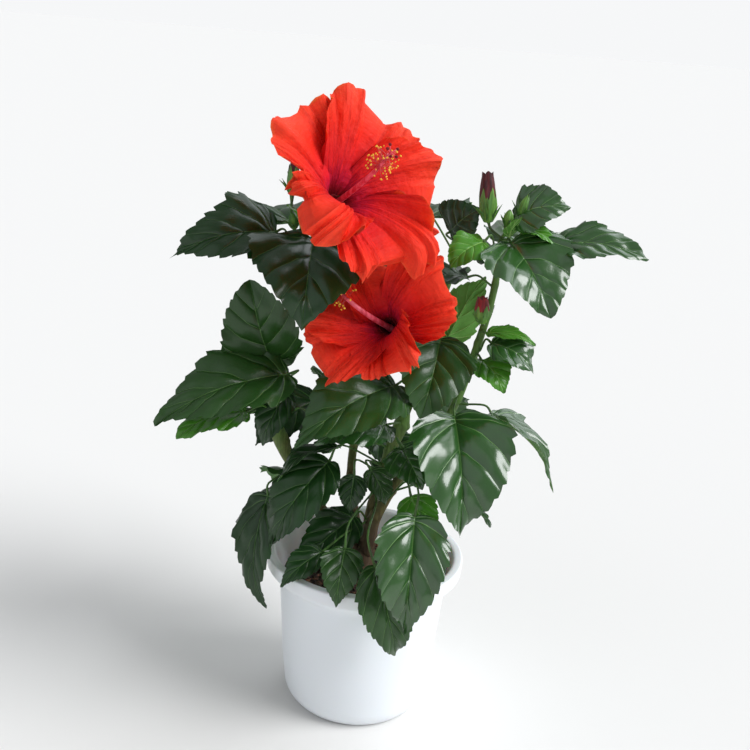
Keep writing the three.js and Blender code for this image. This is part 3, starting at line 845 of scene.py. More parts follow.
# How long a stalk has to be to start higher up its limb, and by how much.
LONG_STALK = 0.055
STALK_RISE = 0.03
leaf_rng = np.random.default_rng(7)
leaves = []
for number, mass in enumerate(masses):
    leaf = read_leaf(mass)
    leaf["seed"] = 100 + number
    leaf["midrib"] = bowed(leaf["neck"], leaf["reach"], leaf["arch"], leaf_rng.uniform(0.0, 0.12))
    leaf["up"] = unit(leaf["arch"])
    leaf["cup"] = leaf_rng.uniform(0.1, 0.3)
    leaf["twist"] = leaf_rng.uniform(-0.25, 0.25)
    leaf["taper"] = leaf_rng.uniform(0.98, 1.2)
    leaf.update(LEAF_HABITS.get(mass, {}))
    if np.linalg.norm(leaf["neck"] - leaf["foot"]) > LONG_STALK:
        leaf["root"] = nearest(wood_points, leaf["root"] + np.array([0, 0, STALK_RISE]))
        leaf["foot"] = 0.8 * leaf["root"] + 0.2 * leaf["neck"]
    lead = leaf["neck"] - unit(leaf["reach"]) * 0.35 * np.linalg.norm(leaf["neck"] - leaf["foot"])
    leaf["stalk"] = np.vstack([leaf["root"], leaf["foot"], lead, leaf["neck"]])
    leaves.append(leaf)

# Smaller leaves: the limb and height they leave at, how the neck stands off, their reach and half
# width, all in millimetres, and their tone: 0 is the dark one, 1 the middle one, 2 the fresh one.
SMALL_LEAVES = {
    "by_left_stem": ("stem_left_top", 285, (9, -17, 15), (-19, -20, -43), 17, 0),
    "rim_left": ("stem_middle_low", 178, (-38, -56, -6), (-34, -21, -25), 16, 0),
    "under_right_middle": ("stem_right_top", 330, (9, -11, 14), (20, -23, -18), 18, 2),
    "under_centre": ("stem_middle_low", 225, (-24, -30, 9), (-2, -12, -30), 13, 0),
    "between_stems": ("stem_middle_low", 232, (-12, -22, 5), (17, -12, -27), 14, 1),
    "fold_at_top": ("stem_right_top", 444, (12, -5, 12), (33, -20, -7), 10, 2),
    "young_at_top": ("stem_middle_top", 437, (0, -3, 11), (8, -6, 24), 11, 2),
    "rolled_fresh": ("stem_right_top", 352, (7, -8, 16), (40, -10, -2), 10, 2),
    "young_left": ("stem_left_top", 428, (2, -6, 16), (-10, -10, 22), 8, 2),
    "young_right": ("stem_right_top", 445, (5, -10, 6), (6, -18, 20), 7, 2),
}


def leaf_from(name, root, neck, reach, half, seed, tone=None, face=(0.0, -0.35, 1.0)):
    """A leaf listed one by one or made by rule, in the form that read_leaf gives."""
    reach = np.asarray(reach, dtype=float)
    ahead = unit(reach)
    up = unit(np.asarray(face) - ahead * (ahead @ np.asarray(face)))
    arch = 0.09 * np.linalg.norm(reach) * up
    rng = np.random.default_rng(seed)
    lead = neck - ahead * 0.35 * np.linalg.norm(neck - root)
    return {
        "name": name, "seed": seed, "neck": neck, "reach": reach, "half": half, "up": up, "root": root,
        "midrib": bowed(neck, reach, arch, rng.uniform(0.0, 0.14)), "cup": rng.uniform(0.1, 0.3),
        "twist": rng.uniform(-0.3, 0.3), "taper": rng.uniform(0.98, 1.2), "tone": tone,
        "stalk": np.vstack([root, 0.7 * root + 0.3 * lead, lead, neck]),
    }


for number, (name, (limb, height, stand, reach, half, tone)) in enumerate(SMALL_LEAVES.items()):
    root = on_limb(limb, height * MM)
    leaves.append(leaf_from(name, root, root + np.array(stand) * MM, np.array(reach) * MM, half * MM,
                            300 + number, tone))

# The crown is filled from behind: near each leaf of the back and the sides others leave the same
# limb, turned aside by the growing rule. One is kept if it clears the rest and leaves the gaps open.
FRONT_CELL = 0.009
CLEARANCE = 0.007
FILLING_TURNS = (-75, 75, -40, 40, 140, -140, 180)
FILLING_ROUNDS = 4


def front_cells(points):
    """Which cells of the view from the front the points fall in."""
    away = np.asarray(points) - np.array(CAMERA_PLACE)
    return set(map(tuple, np.floor(away[:, [0, 2]] / away[:, 1:2] / FRONT_CELL).astype(int)))


kept_points = [leaf_shell(leaf)[::3] for leaf in leaves]
petal_points = np.vstack([shape_of(name)[0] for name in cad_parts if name.startswith("bloom_")])
shown = front_cells(np.vstack(kept_points))
shown |= {(x + i, z + j) for x, z in shown for i in (-1, 0, 1) for j in (-1, 0, 1)}
seed = 500
low, high = (np.array(corner) for corner in cad_box)
for leaf in [leaf for leaf in leaves if "_back" in leaf["name"] or "_side" in leaf["name"]]:
    for turn in FILLING_TURNS * FILLING_ROUNDS:
        seed += 1
        rng = np.random.default_rng(seed)
        angle = math.radians(turn + rng.uniform(-15, 15))
        c, s = math.cos(angle), math.sin(angle)
        spin = np.array([[c, -s, 0], [s, c, 0], [0, 0, 1]])
        size = rng.uniform(0.55, 0.85)
        rise = np.array([0, 0, rng.uniform(-0.03, 0.035)])
        root = nearest(wood_points, leaf["root"] + rise)
        neck = root + spin @ (leaf["neck"] - leaf["root"]) * rng.uniform(0.6, 1.0)
        reach = spin @ leaf["reach"] * size
        face = spin @ leaf["up"]
        new = leaf_from("filling", root, neck, reach, leaf["half"] * size, seed, None, face)
        points = leaf_shell(new)[::3]
        if np.any(points < low + 0.004) or np.any(points > high - 0.004):
            continue
        cells = front_cells(points)
        if len(cells - shown) > 0.04 * len(cells):
            continue
        others = np.vstack(kept_points + [petal_points, wood_points])
        inside = (others > points.min(0) - CLEARANCE) & (others < points.max(0) + CLEARANCE)
        near = others[np.all(inside, axis=1)]
        if len(near) and min(np.linalg.norm(near - p, axis=1).min() for p in points[::2]) < CLEARANCE:
            continue
        kept_points.append(points)
        leaves.append(new)

# Greens: a dark and a middle one that chance deals out; a fresh one at the shoots, light as young
# leaves are and lighter still as painted light shining through the blades; and a glossier one for
# the leaves that face the window, whose lighter greens are painted window light.
MIDDLE_SHARE = 0.45
TONES = ("dark", "middle", "fresh", "glossy")
GLOSSY_PAINTED_LIT = (
    "foliage_top_right", "foliage_far_right", "foliage_right_glossy", "foliage_right_big",
    "foliage_front_big", "foliage_right_edge", "foliage_right_middle", "foliage_small_glossy",
    "foliage_centre_glossy", "foliage_back_upper_right",
)
FRESH_AND_PAINTED_BACKLIT = ("foliage_left_bright", "foliage_small_bright", "foliage_turned_up", "foliage_top_crumpled")
LEAF_COLOURS = {
    "dark": ("#163913", "#466a35", "#446c3a", "#75965c"),
    "middle": ("#234718", "#557a40", "#4f7b3f", "#86a868"),
    # The fresh greens: young leaf colour, brightened as painted light shining through the blades.
    "fresh": ("#45821f", "#78ab4c", "#5f983e", "#93bd6d"),
    # The glossy greens: a lighter copy of the middle ones as painted window light; their wax is real.
    "glossy": ("#244f1a", "#5d8746", "#5a8548", "#93b574"),
}


def leaf_material(name, colour, roughness, coat, coat_roughness, veinlets):
    """Living leaf skin: waxed on its face, dull behind, with a net of fine veinlets."""
    material = finish(
        name, colour, Roughness=roughness, IOR=1.45, Coat_Weight=coat, Coat_Roughness=coat_roughness,
    )
    place = node(material, "ShaderNodeTexCoord").outputs["Object"]
    net = node(material, "ShaderNodeTexVoronoi", feature="DISTANCE_TO_EDGE", Scale=420.0, Vector=place)
    cells = ranged(material, net.outputs["Distance"], 0.0, 0.12)
    feed(material, Normal=raised(material, cells, veinlets, 0.0003))
    return material


leaf_skins = []
for tone in TONES:
    face, vein, back, rib = LEAF_COLOURS[tone]
    wax = (1.0, 0.18) if tone == "glossy" else (0.12, 0.16)
    leaf_skins += [
        leaf_material(f"leaf_face_waxed_{tone}", face, 0.33, *wax, 0.14),
        leaf_material(f"leaf_vein_sunken_{tone}", vein, 0.4, *wax, 0.05),
        leaf_material(f"leaf_back_dull_{tone}", back, 0.6, 0.0, 0.5, 0.3),
        leaf_material(f"leaf_rib_raised_{tone}", rib, 0.55, 0.0, 0.5, 0.1),
    ]

for leaf in leaves:
    if leaf.get("tone") is None:
        leaf["tone"] = int(leaf_rng.random() < MIDDLE_SHARE)
        # The fresh greens carry painted light through the blade, the glossy ones painted window light.
        leaf["tone"] = 2 if leaf["name"] in FRESH_AND_PAINTED_BACKLIT else 3 if leaf["name"] in GLOSSY_PAINTED_LIT else leaf["tone"]

behind = [name for name in masses if "_back" in name or "_side" in name]
for side, names in (("front", [name for name in masses if name not in behind]), ("back", behind)):
    blades = Joined()
    for leaf in leaves:
        if (leaf["name"] in behind + ["filling"]) == (side == "back"):
            slots = LEAF_SLOTS + 4 * leaf["tone"]
            blades.add(leaf_shell(leaf).tolist(), LEAF_FACES, slots.tolist())
    blades.made("leaf_blades_" + side, leaf_skins, "leaf", names, smooth_angle=100)

# Leaf stalks, grown: smooth fine-streaked green that drifts to a darker olive.
stalk_green = two_toned("leaf_stalk_grown", "#4d7a30", "#3c5526", 0.004, 0.0001, (1, 1, 0.2), Roughness=0.5)
stalks = Joined()
for leaf in leaves:
    line = smooth_line(leaf["stalk"], 16)
    thick = 0.0009 + 0.0004 * np.abs(np.linspace(-1, 1, 16)) ** 3 + 0.0012 * np.linspace(1, 0, 16) ** 8
    stalks.add(*tube(line, thick, 8))
stalks.made("leaf_stalks", [stalk_green], "leaf")

# ---- Petals ------------------------------------------------------------------------------------
# Two open blooms of five petals that overlap like the blades of a fan. A petal is a thin silky
# sheet, narrow at its claw, pleated along its veins and frilled at the rim; the throat is crimson.
PETAL_THICKNESS = 0.0006
PETAL_CLAW = 0.008
PETAL_PITCH = math.radians(14)
PETAL_ALONG = 26
PETAL_ROUND = 96
PETAL_WIDTH = 1.1  # of its reach
PETAL_SHRINK = 0.94  # leaves room for the frill
BLOOMS = ("bloom_upper", "bloom_lower")
# The rings of a packed core, from its column's end, that lie at the throat and at the calyx's foot.
THROAT_RING = 5
CALYX_RING = 8


def read_bloom(name):
    """A bloom's throat, axis, column end and the line of its stalk, from its core node."""
    points = shape_of(name + "_core")[0]
    gaps = np.array([np.linalg.norm(wood_points - p, axis=1).min() for p in points])
    rings = rings_of(name + "_core", points[np.argmax(gaps)], 0.0047)
    centres = np.array([ring.mean(axis=0) for ring in rings])
    axis = unit(centres[0] - centres[THROAT_RING])
    throat = centres[THROAT_RING] - 0.002 * axis
    level = unit(np.cross([0, 0, 1], axis))
    return {
        "axis": axis, "throat": throat, "end": centres[0], "level": level, "upward": np.cross(axis, level),
        "stalk": centres[: CALYX_RING - 1 : -1], "calyx": centres[CALYX_RING],
    }


def read_petal(bloom, name):
    """A petal's turn about the axis, its reach and its lift, from the far end of its node."""
    points = shape_of(name)[0] - bloom["throat"]
    height = points @ bloom["axis"]
    flat = points - height[:, None] * bloom["axis"]
    reach = np.linalg.norm(flat, axis=1)
    far = reach > 0.94 * reach.max()
    heading = flat[far].mean(axis=0)
    turn = math.atan2(heading @ bloom["upward"], heading @ bloom["level"])
    return turn, PETAL_SHRINK * reach.max(), height[far].mean()


def petal_shell(bloom, turn, reach, lift, seed, habit):
    """Points, faces and map of one petal, laid out as lines that fan from claw to rim."""
    rng = np.random.default_rng(seed)
    axis = bloom["axis"]
    out = math.cos(turn) * bloom["level"] + math.sin(turn) * bloom["upward"]
    curl = habit.get("curl", 0.12)
    profile = [(0.003, -0.009), (0.24 * reach, 0.42 * lift), (0.6 * reach, 0.9 * lift),
               (0.88 * reach, lift), (1.0 * reach, (1 - curl) * lift)]
    spine = smooth_line([bloom["throat"] + out * r + axis * h for r, h in profile], 60)
    travelled = distances(spine)
    length = travelled[-1]
    half = habit.get("width", PETAL_WIDTH) * reach / 2
    s = np.linspace(-1, 1, PETAL_ROUND + 1)
    bulge = np.clip(np.abs(s) / 0.56, 0, 1) * np.pi / 2
    side_part = np.clip((np.abs(s) - 0.56) / 0.44, 0, 1)
    flank = 0.58 * (1 - side_part) ** 0.85
    rim_on = np.where(side_part > 0, flank, 0.58 + 0.42 * np.cos(bulge) ** 0.8) * length
    rim_off = PETAL_CLAW + (half - PETAL_CLAW) * np.where(
        side_part > 0, np.cos(side_part * np.pi / 2) ** 1.15, np.sin(bulge) ** 0.9,
    )
    rim_off = np.sign(s) * rim_off * np.where(np.abs(s) < 0.02, 0, 1)
    phase = rng.uniform(0, 2 * np.pi, 8)
    scallop = 1 + 0.016 * np.sin(9 * np.pi * s + phase[0]) + 0.012 * np.sin(21 * np.pi * s + phase[1])
    notch = 0.05 * np.exp(-(((s - 0.12 * math.sin(phase[2])) / 0.05) ** 2))
    rim_on = rim_on * (scallop - notch)
    rim_off = rim_off * scallop
    r = np.linspace(0, 1, PETAL_ALONG + 1)[:, None] ** 0.95
    on = rim_on * (r**1.12)
    off = (1 - r) * s * PETAL_CLAW * 0.7 + r * rim_off
    share = np.clip(on / length, 0, 1)
    cup = habit.get("cup", 0.01) * (1 - share) * (off / half) ** 2
    frill = habit.get("frill", 0.0042)
    ruffle = frill * r**3.2 * (
        np.sin(4.6 * np.pi * s + phase[3]) + 0.6 * np.sin(9.7 * np.pi * s + phase[4])
        + 0.34 * np.sin(19.5 * np.pi * s + phase[5])
    )
    sway = habit.get("sway", 0.005) * r**2 * np.sin(1.5 * np.pi * s + phase[6])
    tuck = habit.get("tuck", 0.0) * r**2 * np.clip(np.sign(habit.get("tuck", 0.0)) * s, 0, 1) ** 2
    pleat = 0.00035 * np.sin(26 * np.pi * s + phase[7]) * (r**0.7) * (1 - 0.5 * r)
    fine = 0.00012 * np.sin(61 * np.pi * s) * r
    spine_rib = -0.0012 * np.exp(-((s / 0.07) ** 2)) * (1 - r) ** 0.5
    high = cup + ruffle + sway + np.abs(tuck) + pleat + fine + spine_rib

    heading = headings(spine)
    side = unit(np.cross(axis, heading))
    normal = np.cross(heading, side)
    pitch_side = side * math.cos(PETAL_PITCH) + normal * math.sin(PETAL_PITCH)
    pitch_normal = normal * math.cos(PETAL_PITCH) - side * math.sin(PETAL_PITCH)

    def lay(high):
        at = np.clip(on, 0, length)
        across = carried(at, travelled, pitch_side) * off[..., None]
        up = carried(at, travelled, pitch_normal) * high[..., None]
        ahead = carried(at, travelled, heading) * (on - at)[..., None]
        return carried(at, travelled, spine) + across + up + ahead

    thick = PETAL_THICKNESS * (1 - 0.5 * r) * np.ones_like(high)
    top = lay(high)
    below = lay(high - thick)
    rows, columns = top.shape[:2]
    face_ids = np.arange(rows * columns).reshape(rows, columns)
    inner = rows * columns + np.arange((rows - 1) * (columns - 2)).reshape(rows - 1, columns - 2)
    under = face_ids.copy()
    under[:-1, 1:-1] = inner
    points = np.vstack([top.reshape(-1, 3), below[:-1, 1:-1].reshape(-1, 3)])
    faces = quads(face_ids.T) + quads(under) + quads(np.stack([face_ids[0], under[0]]))
    spread_map = np.stack([0.5 + 0.5 * s * np.ones_like(r), np.hypot(on, off) / length], axis=-1)
    mapped = np.vstack([spread_map.reshape(-1, 2), spread_map[:-1, 1:-1].reshape(-1, 2)])
    return points, faces, mapped


# Fresh petal tissue: satin scarlet, streaked along its fine veins, crimson towards the throat with a
# pink band there that is partly painted highlight, and lighter at the rim as painted light shining
# through the thin edge.
petal_red = finish(
    "petal_scarlet_fresh", "#ee2c1a", Roughness=0.62, IOR=1.35, Specular_IOR_Level=0.3,
    Subsurface_Weight=0.2, Subsurface_Radius=(0.9, 0.15, 0.05), Subsurface_Scale=0.003,
)
fan = node(petal_red, "ShaderNodeUVMap", uv_map="petal_map").outputs["UV"]
from_throat = node(petal_red, "ShaderNodeSeparateXYZ", Vector=fan).outputs["Y"]
streaks = clouds(petal_red, 1.0, 4.0, (46.0, 2.2, 1.0), fan, Roughness=0.6)
crinkles = clouds(petal_red, 1.0, 5.0, (30.0, 11.0, 1.0), fan)
# Crimson at the throat, a pink band near it that is partly painted highlight, and a lighter rim that is
# painted light through the thin edge.
throat_tint_and_painted_light = ramped(
    petal_red, strayed(petal_red, from_throat, streaks, 0.3), (0.05, "#4d0710"), (0.13, "#8a0c1c"),
    (0.24, "#c0183a"), (0.38, "#d61c24"), (0.7, "#e62916"), (1.0, "#fa452b"),
)
crinkled = raised(petal_red, crinkles, 0.9, 0.003)
feed(
    petal_red,
    Base_Color=dimmed(petal_red, throat_tint_and_painted_light, ranged(petal_red, streaks, 0.35, 0.65, 0.8, 1.12)),
    Normal=raised(petal_red, streaks, 0.9, 0.0016, Normal=crinkled),
)

HABITS = {
    "bloom_upper_petal_1": {"tuck": -0.016, "frill": 0.004},
    "bloom_upper_petal_2": {"frill": 0.0045},
    "bloom_upper_petal_3": {"frill": 0.004},
    "bloom_upper_petal_4": {"frill": 0.0055, "curl": 0.5},
    "bloom_upper_petal_5": {"frill": 0.0085, "curl": 0.35, "cup": 0.008},
    "bloom_lower_petal_5": {"frill": 0.0022},
}
blooms = {name: read_bloom(name) for name in BLOOMS}
for name, bloom in blooms.items():
    petals = sorted(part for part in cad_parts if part.startswith(name + "_petal"))
    for number, part in enumerate(petals):
        seed = 40 + 10 * BLOOMS.index(name) + number
        points, faces, mapped = petal_shell(bloom, *read_petal(bloom, part), seed, HABITS.get(part, {}))
        short = part.replace("bloom_", "").replace("petal_", "")
        petal = piece("petal_" + short, points, faces, [petal_red])
        layer = petal.data.uv_layers.new(name="petal_map")
        corner_ids = np.empty(len(petal.data.loops), dtype=np.int32)
        petal.data.loops.foreach_get("vertex_index", corner_ids)
        layer.data.foreach_set("uv", mapped[corner_ids].ravel())
        dress(petal, "bloom", part)

# ---- Columns -----------------------------------------------------------------------------------
# The long tube of joined stamens that stands out of each throat, pink and waxy. Its end bristles
# with fine filaments that hold yellow anthers, and five styles with velvety stigmas pass out of it.
BRUSH_SHARE = 0.34
COLUMN_STEPS = 40
STYLES = 5
STAMEN_SPACING = 0.00098
STAMENS_PER_AREA = 1500000.0  # on a square metre, before their spacing thins them out
# How far the column's end strays from the axis of its bloom.
COLUMN_SWAY = {"bloom_lower": (-0.0228, 0.0435, 0.0017)}
# Waxy column tissue, red filaments, pollen in grains, and stigmas of dark velvet.
column_pink = two_toned("column_waxy", "#f0687c", "#cc3248", 0.003, 0.0001, (1, 1, 0.3), Roughness=0.42)
filament_red = two_toned("filament_drawn", "#d8443c", "#b02428", 0.002, 0.00005, Roughness=0.5)
anther_yellow = two_toned("anther_pollen_grains", "#ffd24a", "#e09a20", 0.0006, 0.0003, Roughness=0.85)
stigma_dark = two_toned("stigma_velvet", "#8a1018", "#52060c", 0.0008, 0.0003, Roughness=0.9)


def stamens(tree, given, spots):
    """Small parts that stand square to a surface, of many sizes, and lean at random."""
    part = node(tree, "GeometryNodeObjectInfo", Object=given["Part"]).outputs["Geometry"]
    stood = node(
        tree, "GeometryNodeInstanceOnPoints", Points=spots["Points"], Instance=part,
        Rotation=spots["Rotation"], Scale=chance(tree, given, 0.72, 1.2),
    )
    lean = chance(tree, given, (-0.4, -0.4, -3.0), (0.4, 0.4, 3.0))
    return node(tree, "GeometryNodeRotateInstances", Instances=stood.outputs["Instances"], Rotation=lean)


def lump(centre, axes, rows, around):
    """A small closed rounded body on three half axes."""
    arc = [math.pi * i / rows for i in range(rows + 1)]
    points, faces = turned([(math.sin(rise), -math.cos(rise)) for rise in arc], around)
    return (np.asarray(centre) + np.array(points) @ np.array(axes)).tolist(), faces


def stood_part(name, points, faces):
    """A small part that a node tree stands many times."""
    mesh = bpy.data.meshes.new(name)
    mesh.from_pydata(points, [], faces)
    return bpy.data.objects.new(name, mesh)


FILAMENT = 0.0085
filament_line = smooth_line([(0, 0, -0.0005), (0.0004, 0, 0.4 * FILAMENT), (0.0018, 0, FILAMENT)], 5)
FILAMENT_RADII = [0.0003, 0.00026, 0.00022, 0.0002, 0.00017]
filament_one = stood_part("filament_one", *tube(filament_line, FILAMENT_RADII, 4))
anther_axes = ((0.00095, 0, 0.0001), (0, 0.0007, 0), (0, 0, 0.0006))
anther_one = stood_part("anther_one", *lump((0.0019, 0, FILAMENT + 0.0004), anther_axes, 4, 6))
BRUSH_KINDS = {"filaments": (filament_one, filament_red), "anthers": (anther_one, anther_yellow)}
standing = scattering_tree("standing_stamens", stamens, Part="Object")
for name, bloom in blooms.items():
    short = name.replace("bloom_", "")
    axis = bloom["axis"]
    sag = 0.004 * (np.array([0, 0, 1.0]) - axis * axis[2])
    span = np.linalg.norm(bloom["end"] - bloom["throat"])
    sway = np.array(COLUMN_SWAY.get(name, (0, 0, 0)))
    line = smooth_line([
        bloom["throat"] - 0.012 * axis,
        bloom["throat"] + 0.4 * span * axis - 0.5 * sag + 0.3 * sway,
        bloom["throat"] + 0.75 * span * axis - 0.2 * sag + 0.7 * sway,
        bloom["end"] - 0.004 * axis + 0.7 * sag + sway,
    ], COLUMN_STEPS)
    funnel = [(0.0, -0.013), (0.004, -0.0125), (0.006, -0.007), (0.0072, -0.0012)]
    funnel += [(r - 0.0006, h + 0.0002) for r, h in funnel[:0:-1]] + [(0.0, -0.0122)]
    points, faces = turned(funnel, 28)
    points = bloom["throat"] + np.array(points) @ np.array([bloom["level"], bloom["upward"], axis])
    stigmas = Joined()
    stigmas.add(points.tolist(), faces)
    column = Joined()
    share = np.linspace(0, 1, COLUMN_STEPS)
    girth = np.interp(share, [0, 0.1, 0.6, 1], [0.0032, 0.0024, 0.0017, 0.0011])
    column.add(*tube(line, girth, 14))
    twig_rng = np.random.default_rng(8)
    for k in range(STYLES):
        turn = 2 * math.pi * k / STYLES + 0.3
        spread_way = math.cos(turn) * bloom["level"] + math.sin(turn) * bloom["upward"]
        tip = line[-1] + axis * twig_rng.uniform(0.004, 0.0065)
        tip = tip + spread_way * twig_rng.uniform(0.004, 0.006)
        bend = line[-1] + 0.003 * axis + 0.0008 * spread_way
        style = smooth_line([line[-1] - 0.001 * axis, bend, tip], 7)
        column.add(*tube(style, np.full(7, 0.00032), 6))
        stigmas.add(*lump(tip, ((0.0013, 0, 0), (0, 0.0013, 0), (0, 0, 0.0012)), 6, 9))
    column.made("column_" + short, [column_pink], "bloom", [name + "_core"])
    stigmas.made("stigmas_" + short, [stigma_dark], "bloom")
    brush = bpy.data.meshes.new("brush_" + short)
    bristling = line[int(COLUMN_STEPS * (1 - BRUSH_SHARE)):]
    points, faces = tube(bristling, np.full(len(bristling), 0.0013), 10)
    brush.from_pydata(points, [], [face for face in faces if len(face) == 4])
    for kind, (one, skin) in BRUSH_KINDS.items():
        grown = grown_by(
            standing, f"{kind}_{short}", brush, Part=one, Spacing=STAMEN_SPACING,
            Density=STAMENS_PER_AREA, Seed=5, Finish=skin,
        )
        dress(grown, "bloom")
bpy.data.objects.remove(filament_one)
bpy.data.objects.remove(anther_one)

# ---- Calyces and buds --------------------------------------------------------------------------
# Every bloom and bud sits in a green leathery cup with five pointed lobes, ringed by thin bracts,
# on a green stalk. Half of the buds show the tip of their petals, furled like an umbrella.
# Calyx leather and thin bracts, grown: finely streaked green. Furled petal backs: dull, dark
# maroon on two of the buds and crimson on two others.
calyx_green = two_toned("calyx_leathery", "#6a9a3c", "#43722c", 0.004, 0.0002, (1, 1, 0.15), Roughness=0.5)
bract_green = two_toned("bract_thin", "#4f8030", "#335c22", 0.003, 0.0001, (1, 1, 0.2), Roughness=0.5)
ROLLED = (0.002, 0.0003, (1, 1, 0.15))
furled_red = two_toned("petal_furled_maroon", "#5c1219", "#33090f", *ROLLED, Roughness=0.6)
fresh_red = two_toned("petal_furled_crimson", "#9c1620", "#5e0c14", *ROLLED, Roughness=0.6)
BRACTS = 7
BRACT_WIDTH = 0.0022
BRACT_SPREAD = 0.55
ROLL_ROWS = 22
ROLL_SIDES = 40


def spokes_of(axis):
    """Two directions square to an axis and to each other."""
    side = unit(np.cross(axis, [0.3, 1.0, 0.2]))
    return side, np.cross(axis, side)


def cup_shell(foot, axis, length, girth, lobes, open_top, around=50, rows=12):
    """A closed thin cup that stands on a foot along an axis, its rim cut into pointed lobes."""
    side, up = spokes_of(axis)
    outer = []
    inner = []
    for i in range(rows + 1):
        u = i / rows
        for k in range(around):
            turn = 2 * math.pi * k / around
            point = abs(math.cos(2.5 * turn)) ** 1.3
            tall = length * (1 - lobes + lobes * point)
            swell = math.sin(math.pi * min(1, 0.12 + 0.5 * u)) ** 0.7
            close = 1 - (1 - open_top) * max(0, (u * tall / length - 0.45) / 0.55) ** 1.6
            rib = 1 + 0.05 * math.cos(10 * turn)
            spoke = math.cos(turn) * side + math.sin(turn) * up
            height = u * tall
            outer.append(foot + axis * height + spoke * girth * swell * close * rib)
            inside = max(0.0001, girth * swell * close * rib - 0.0005 * (1 - u))
            inner.append(foot + axis * (height + 0.0004 * (1 - u)) + spoke * inside)
    points = outer + inner[:-around] + [foot - axis * 0.0004, foot + axis * 0.0002]
    skin = np.arange(len(outer)).reshape(-1, around)
    lining = np.vstack([len(outer) + skin[:-1], skin[-1]])
    faces = quads(ringed(skin)) + quads(ringed(lining).T)
    for k in range(around):
        n = (k + 1) % around
        faces += [(len(points) - 2, n, k), (len(points) - 1, int(lining[0, k]), int(lining[0, n]))]
    return [p.tolist() for p in points], faces


def bract(foot, heading, bend, length, width):
    """A slim pointed blade, flat and a little bent."""
    heading = unit(np.asarray(heading))
    line = smooth_line([foot, foot + heading * 0.5 * length, foot + heading * length + bend * length], 9)
    u = np.linspace(0, 1, 9)
    girth = width / 2 * np.maximum(0.12, np.sin(np.pi * (0.12 + 0.88 * u) ** 0.8))
    return tube(line, girth, 8, lambda i, turn: 1 / math.hypot(math.cos(turn), math.sin(turn) / 0.22))


def furled(foot, axis, length, girth):
    """Petals rolled round each other: a tapered body with five spiral ridges and a ragged end."""
    shares = np.linspace(0, 1, ROLL_ROWS)
    line = np.array([foot + axis * length * u for u in shares])
    girths = [
        girth * (0.75 + 0.35 * math.sin(math.pi * min(1, 0.25 + 0.6 * u))) * (1 - 0.18 * u**3)
        for u in shares
    ]

    def ridges(i, turn):
        return 1 + 0.16 * abs(math.sin(2.5 * turn + 0.1 * i)) - 0.1

    points, faces = tube(line, girths, ROLL_SIDES, ridges, spokes_of(axis)[0])
    points = np.array(points)
    turns = 2 * np.pi * np.arange(ROLL_SIDES) / ROLL_SIDES
    points[-ROLL_SIDES - 2:-2] += axis * (0.09 * length * np.abs(np.sin(2.5 * turns + 2.1)))[:, None]
    points[-1] -= axis * 0.1 * length
    return points.tolist(), faces


cups = Joined()
bracts = Joined()
flower_stalks = Joined()


def flower_foot(foot, axis, length, girth, lobes, open_top, seed):
    """A calyx and its ring of bracts."""
    cups.add(*cup_shell(foot, axis, length, girth, lobes, open_top))
    bract_rng = np.random.default_rng(seed)
    side, up = spokes_of(axis)
    for k in range(BRACTS):
        turn = 2 * math.pi * k / BRACTS + bract_rng.uniform(-0.2, 0.2)
        spoke = math.cos(turn) * side + math.sin(turn) * up
        bend = 0.25 * spoke * bract_rng.uniform(0.2, 1.2)
        reach = length * bract_rng.uniform(0.5, 0.75)
        bracts.add(*bract(foot + spoke * 0.4 * girth, axis + spoke * BRACT_SPREAD, bend, reach, BRACT_WIDTH))


for number, (name, bloom) in enumerate(blooms.items()):
    axis = bloom["axis"]
    flower_foot(bloom["calyx"], axis, 0.029, 0.0072, 0.4, 0.95, 60 + number)
    line = smooth_line(np.vstack([bloom["stalk"], bloom["calyx"] + 0.001 * axis]), 24)
    flower_stalks.add(*tube(line, np.interp(np.arange(24), [0, 20, 23], [0.0013, 0.0013, 0.0028]), 12))

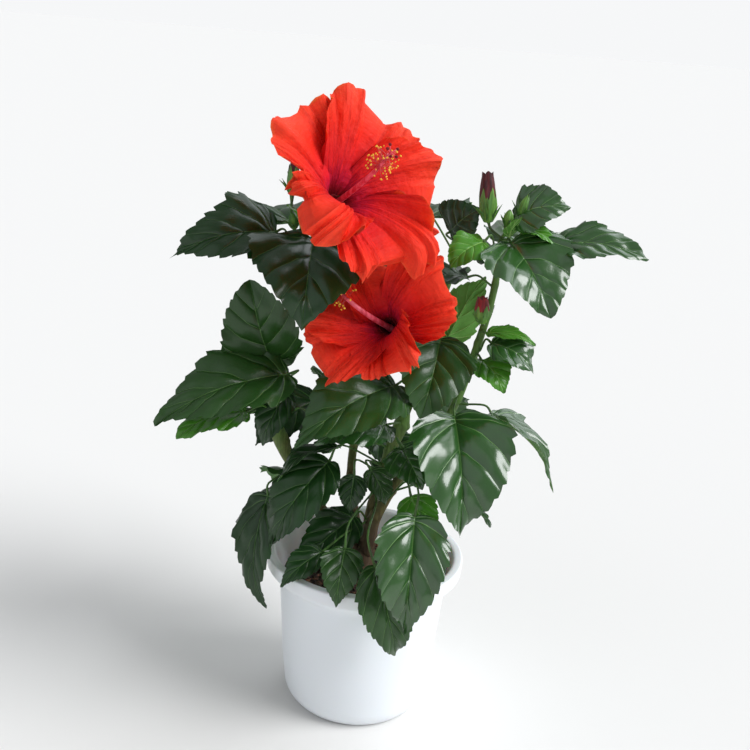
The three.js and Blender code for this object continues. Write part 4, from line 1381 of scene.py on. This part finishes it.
# Each bud: its limb, the height it leaves at and where it stands from there in millimetres, its way,
# its length and girth in millimetres, how much of it is petals, and their colour.
BUDS = {
    "bud_tall": ("stem_right_top", 452, (-12, 0, 12), (-0.12, 0, 1), 38, 7.4, 0.45, furled_red),
    "bud_green": ("stem_right_top", 452, (14, 0, 16), (0.2, 0, 1), 21, 5, 0.0, None),
    "bud_left": ("stem_left_top", 430, (-8, 0, 40), (0.03, -0.1, 1), 26, 4.8, 0.12, furled_red),
    "bud_middle": ("stem_right_top", 372, (-4, -18, 6), (-0.1, -0.1, 1), 21, 6.8, 0.42, fresh_red),
    "bud_hidden": ("stem_left_top", 330, (-30, 4, 36), (-0.15, 0.1, 1), 22, 5, 0.45, fresh_red),
    "bud_small": ("stem_right_top", 452, (3, -6, 11), (0.05, -0.1, 1), 14, 4.2, 0.0, None),
    "bud_young": ("stem_left_top", 430, (-4, -5, 13), (-0.2, -0.2, 1), 15, 3.6, 0.0, None),
    "bud_tiny": ("stem_left_top", 430, (4, -4, 9), (0.3, -0.15, 1), 12, 3.2, 0.0, None),
}
for number, (name, (limb, height, stand, way, long, thick, shown, skin)) in enumerate(BUDS.items()):
    length = long * MM
    girth = thick * MM
    root = on_limb(limb, height * MM)
    foot = root + np.array(stand) * MM
    axis = unit(np.array(way, dtype=float))
    calyx_length = length * (1 - 0.55 * shown) if skin else length
    lobes, open_top = (0.35, 0.85) if skin else (0.12, 0.12)
    flower_foot(foot, axis, calyx_length, girth, lobes, open_top, 70 + number)
    bend = (root + foot) / 2 + 0.003 * unit(np.array([stand[0], stand[1], 1.0]))
    line = smooth_line([root, bend, foot + 0.001 * axis], 12)
    flower_stalks.add(*tube(line, np.interp(np.arange(12), [0, 9, 11], [0.0012, 0.0012, 0.0022]), 10))
    if skin:
        roll = Joined()
        roll.add(*furled(foot + axis * 0.25 * length, axis, 0.75 * length, girth * 0.8))
        roll.made(name + "_petals", [skin], "bloom")
cups.made("calyx_cups", [calyx_green], "leaf")
bracts.made("calyx_bracts", [bract_green], "leaf")
flower_stalks.made("flower_stalks", [stalk_green], "leaf")
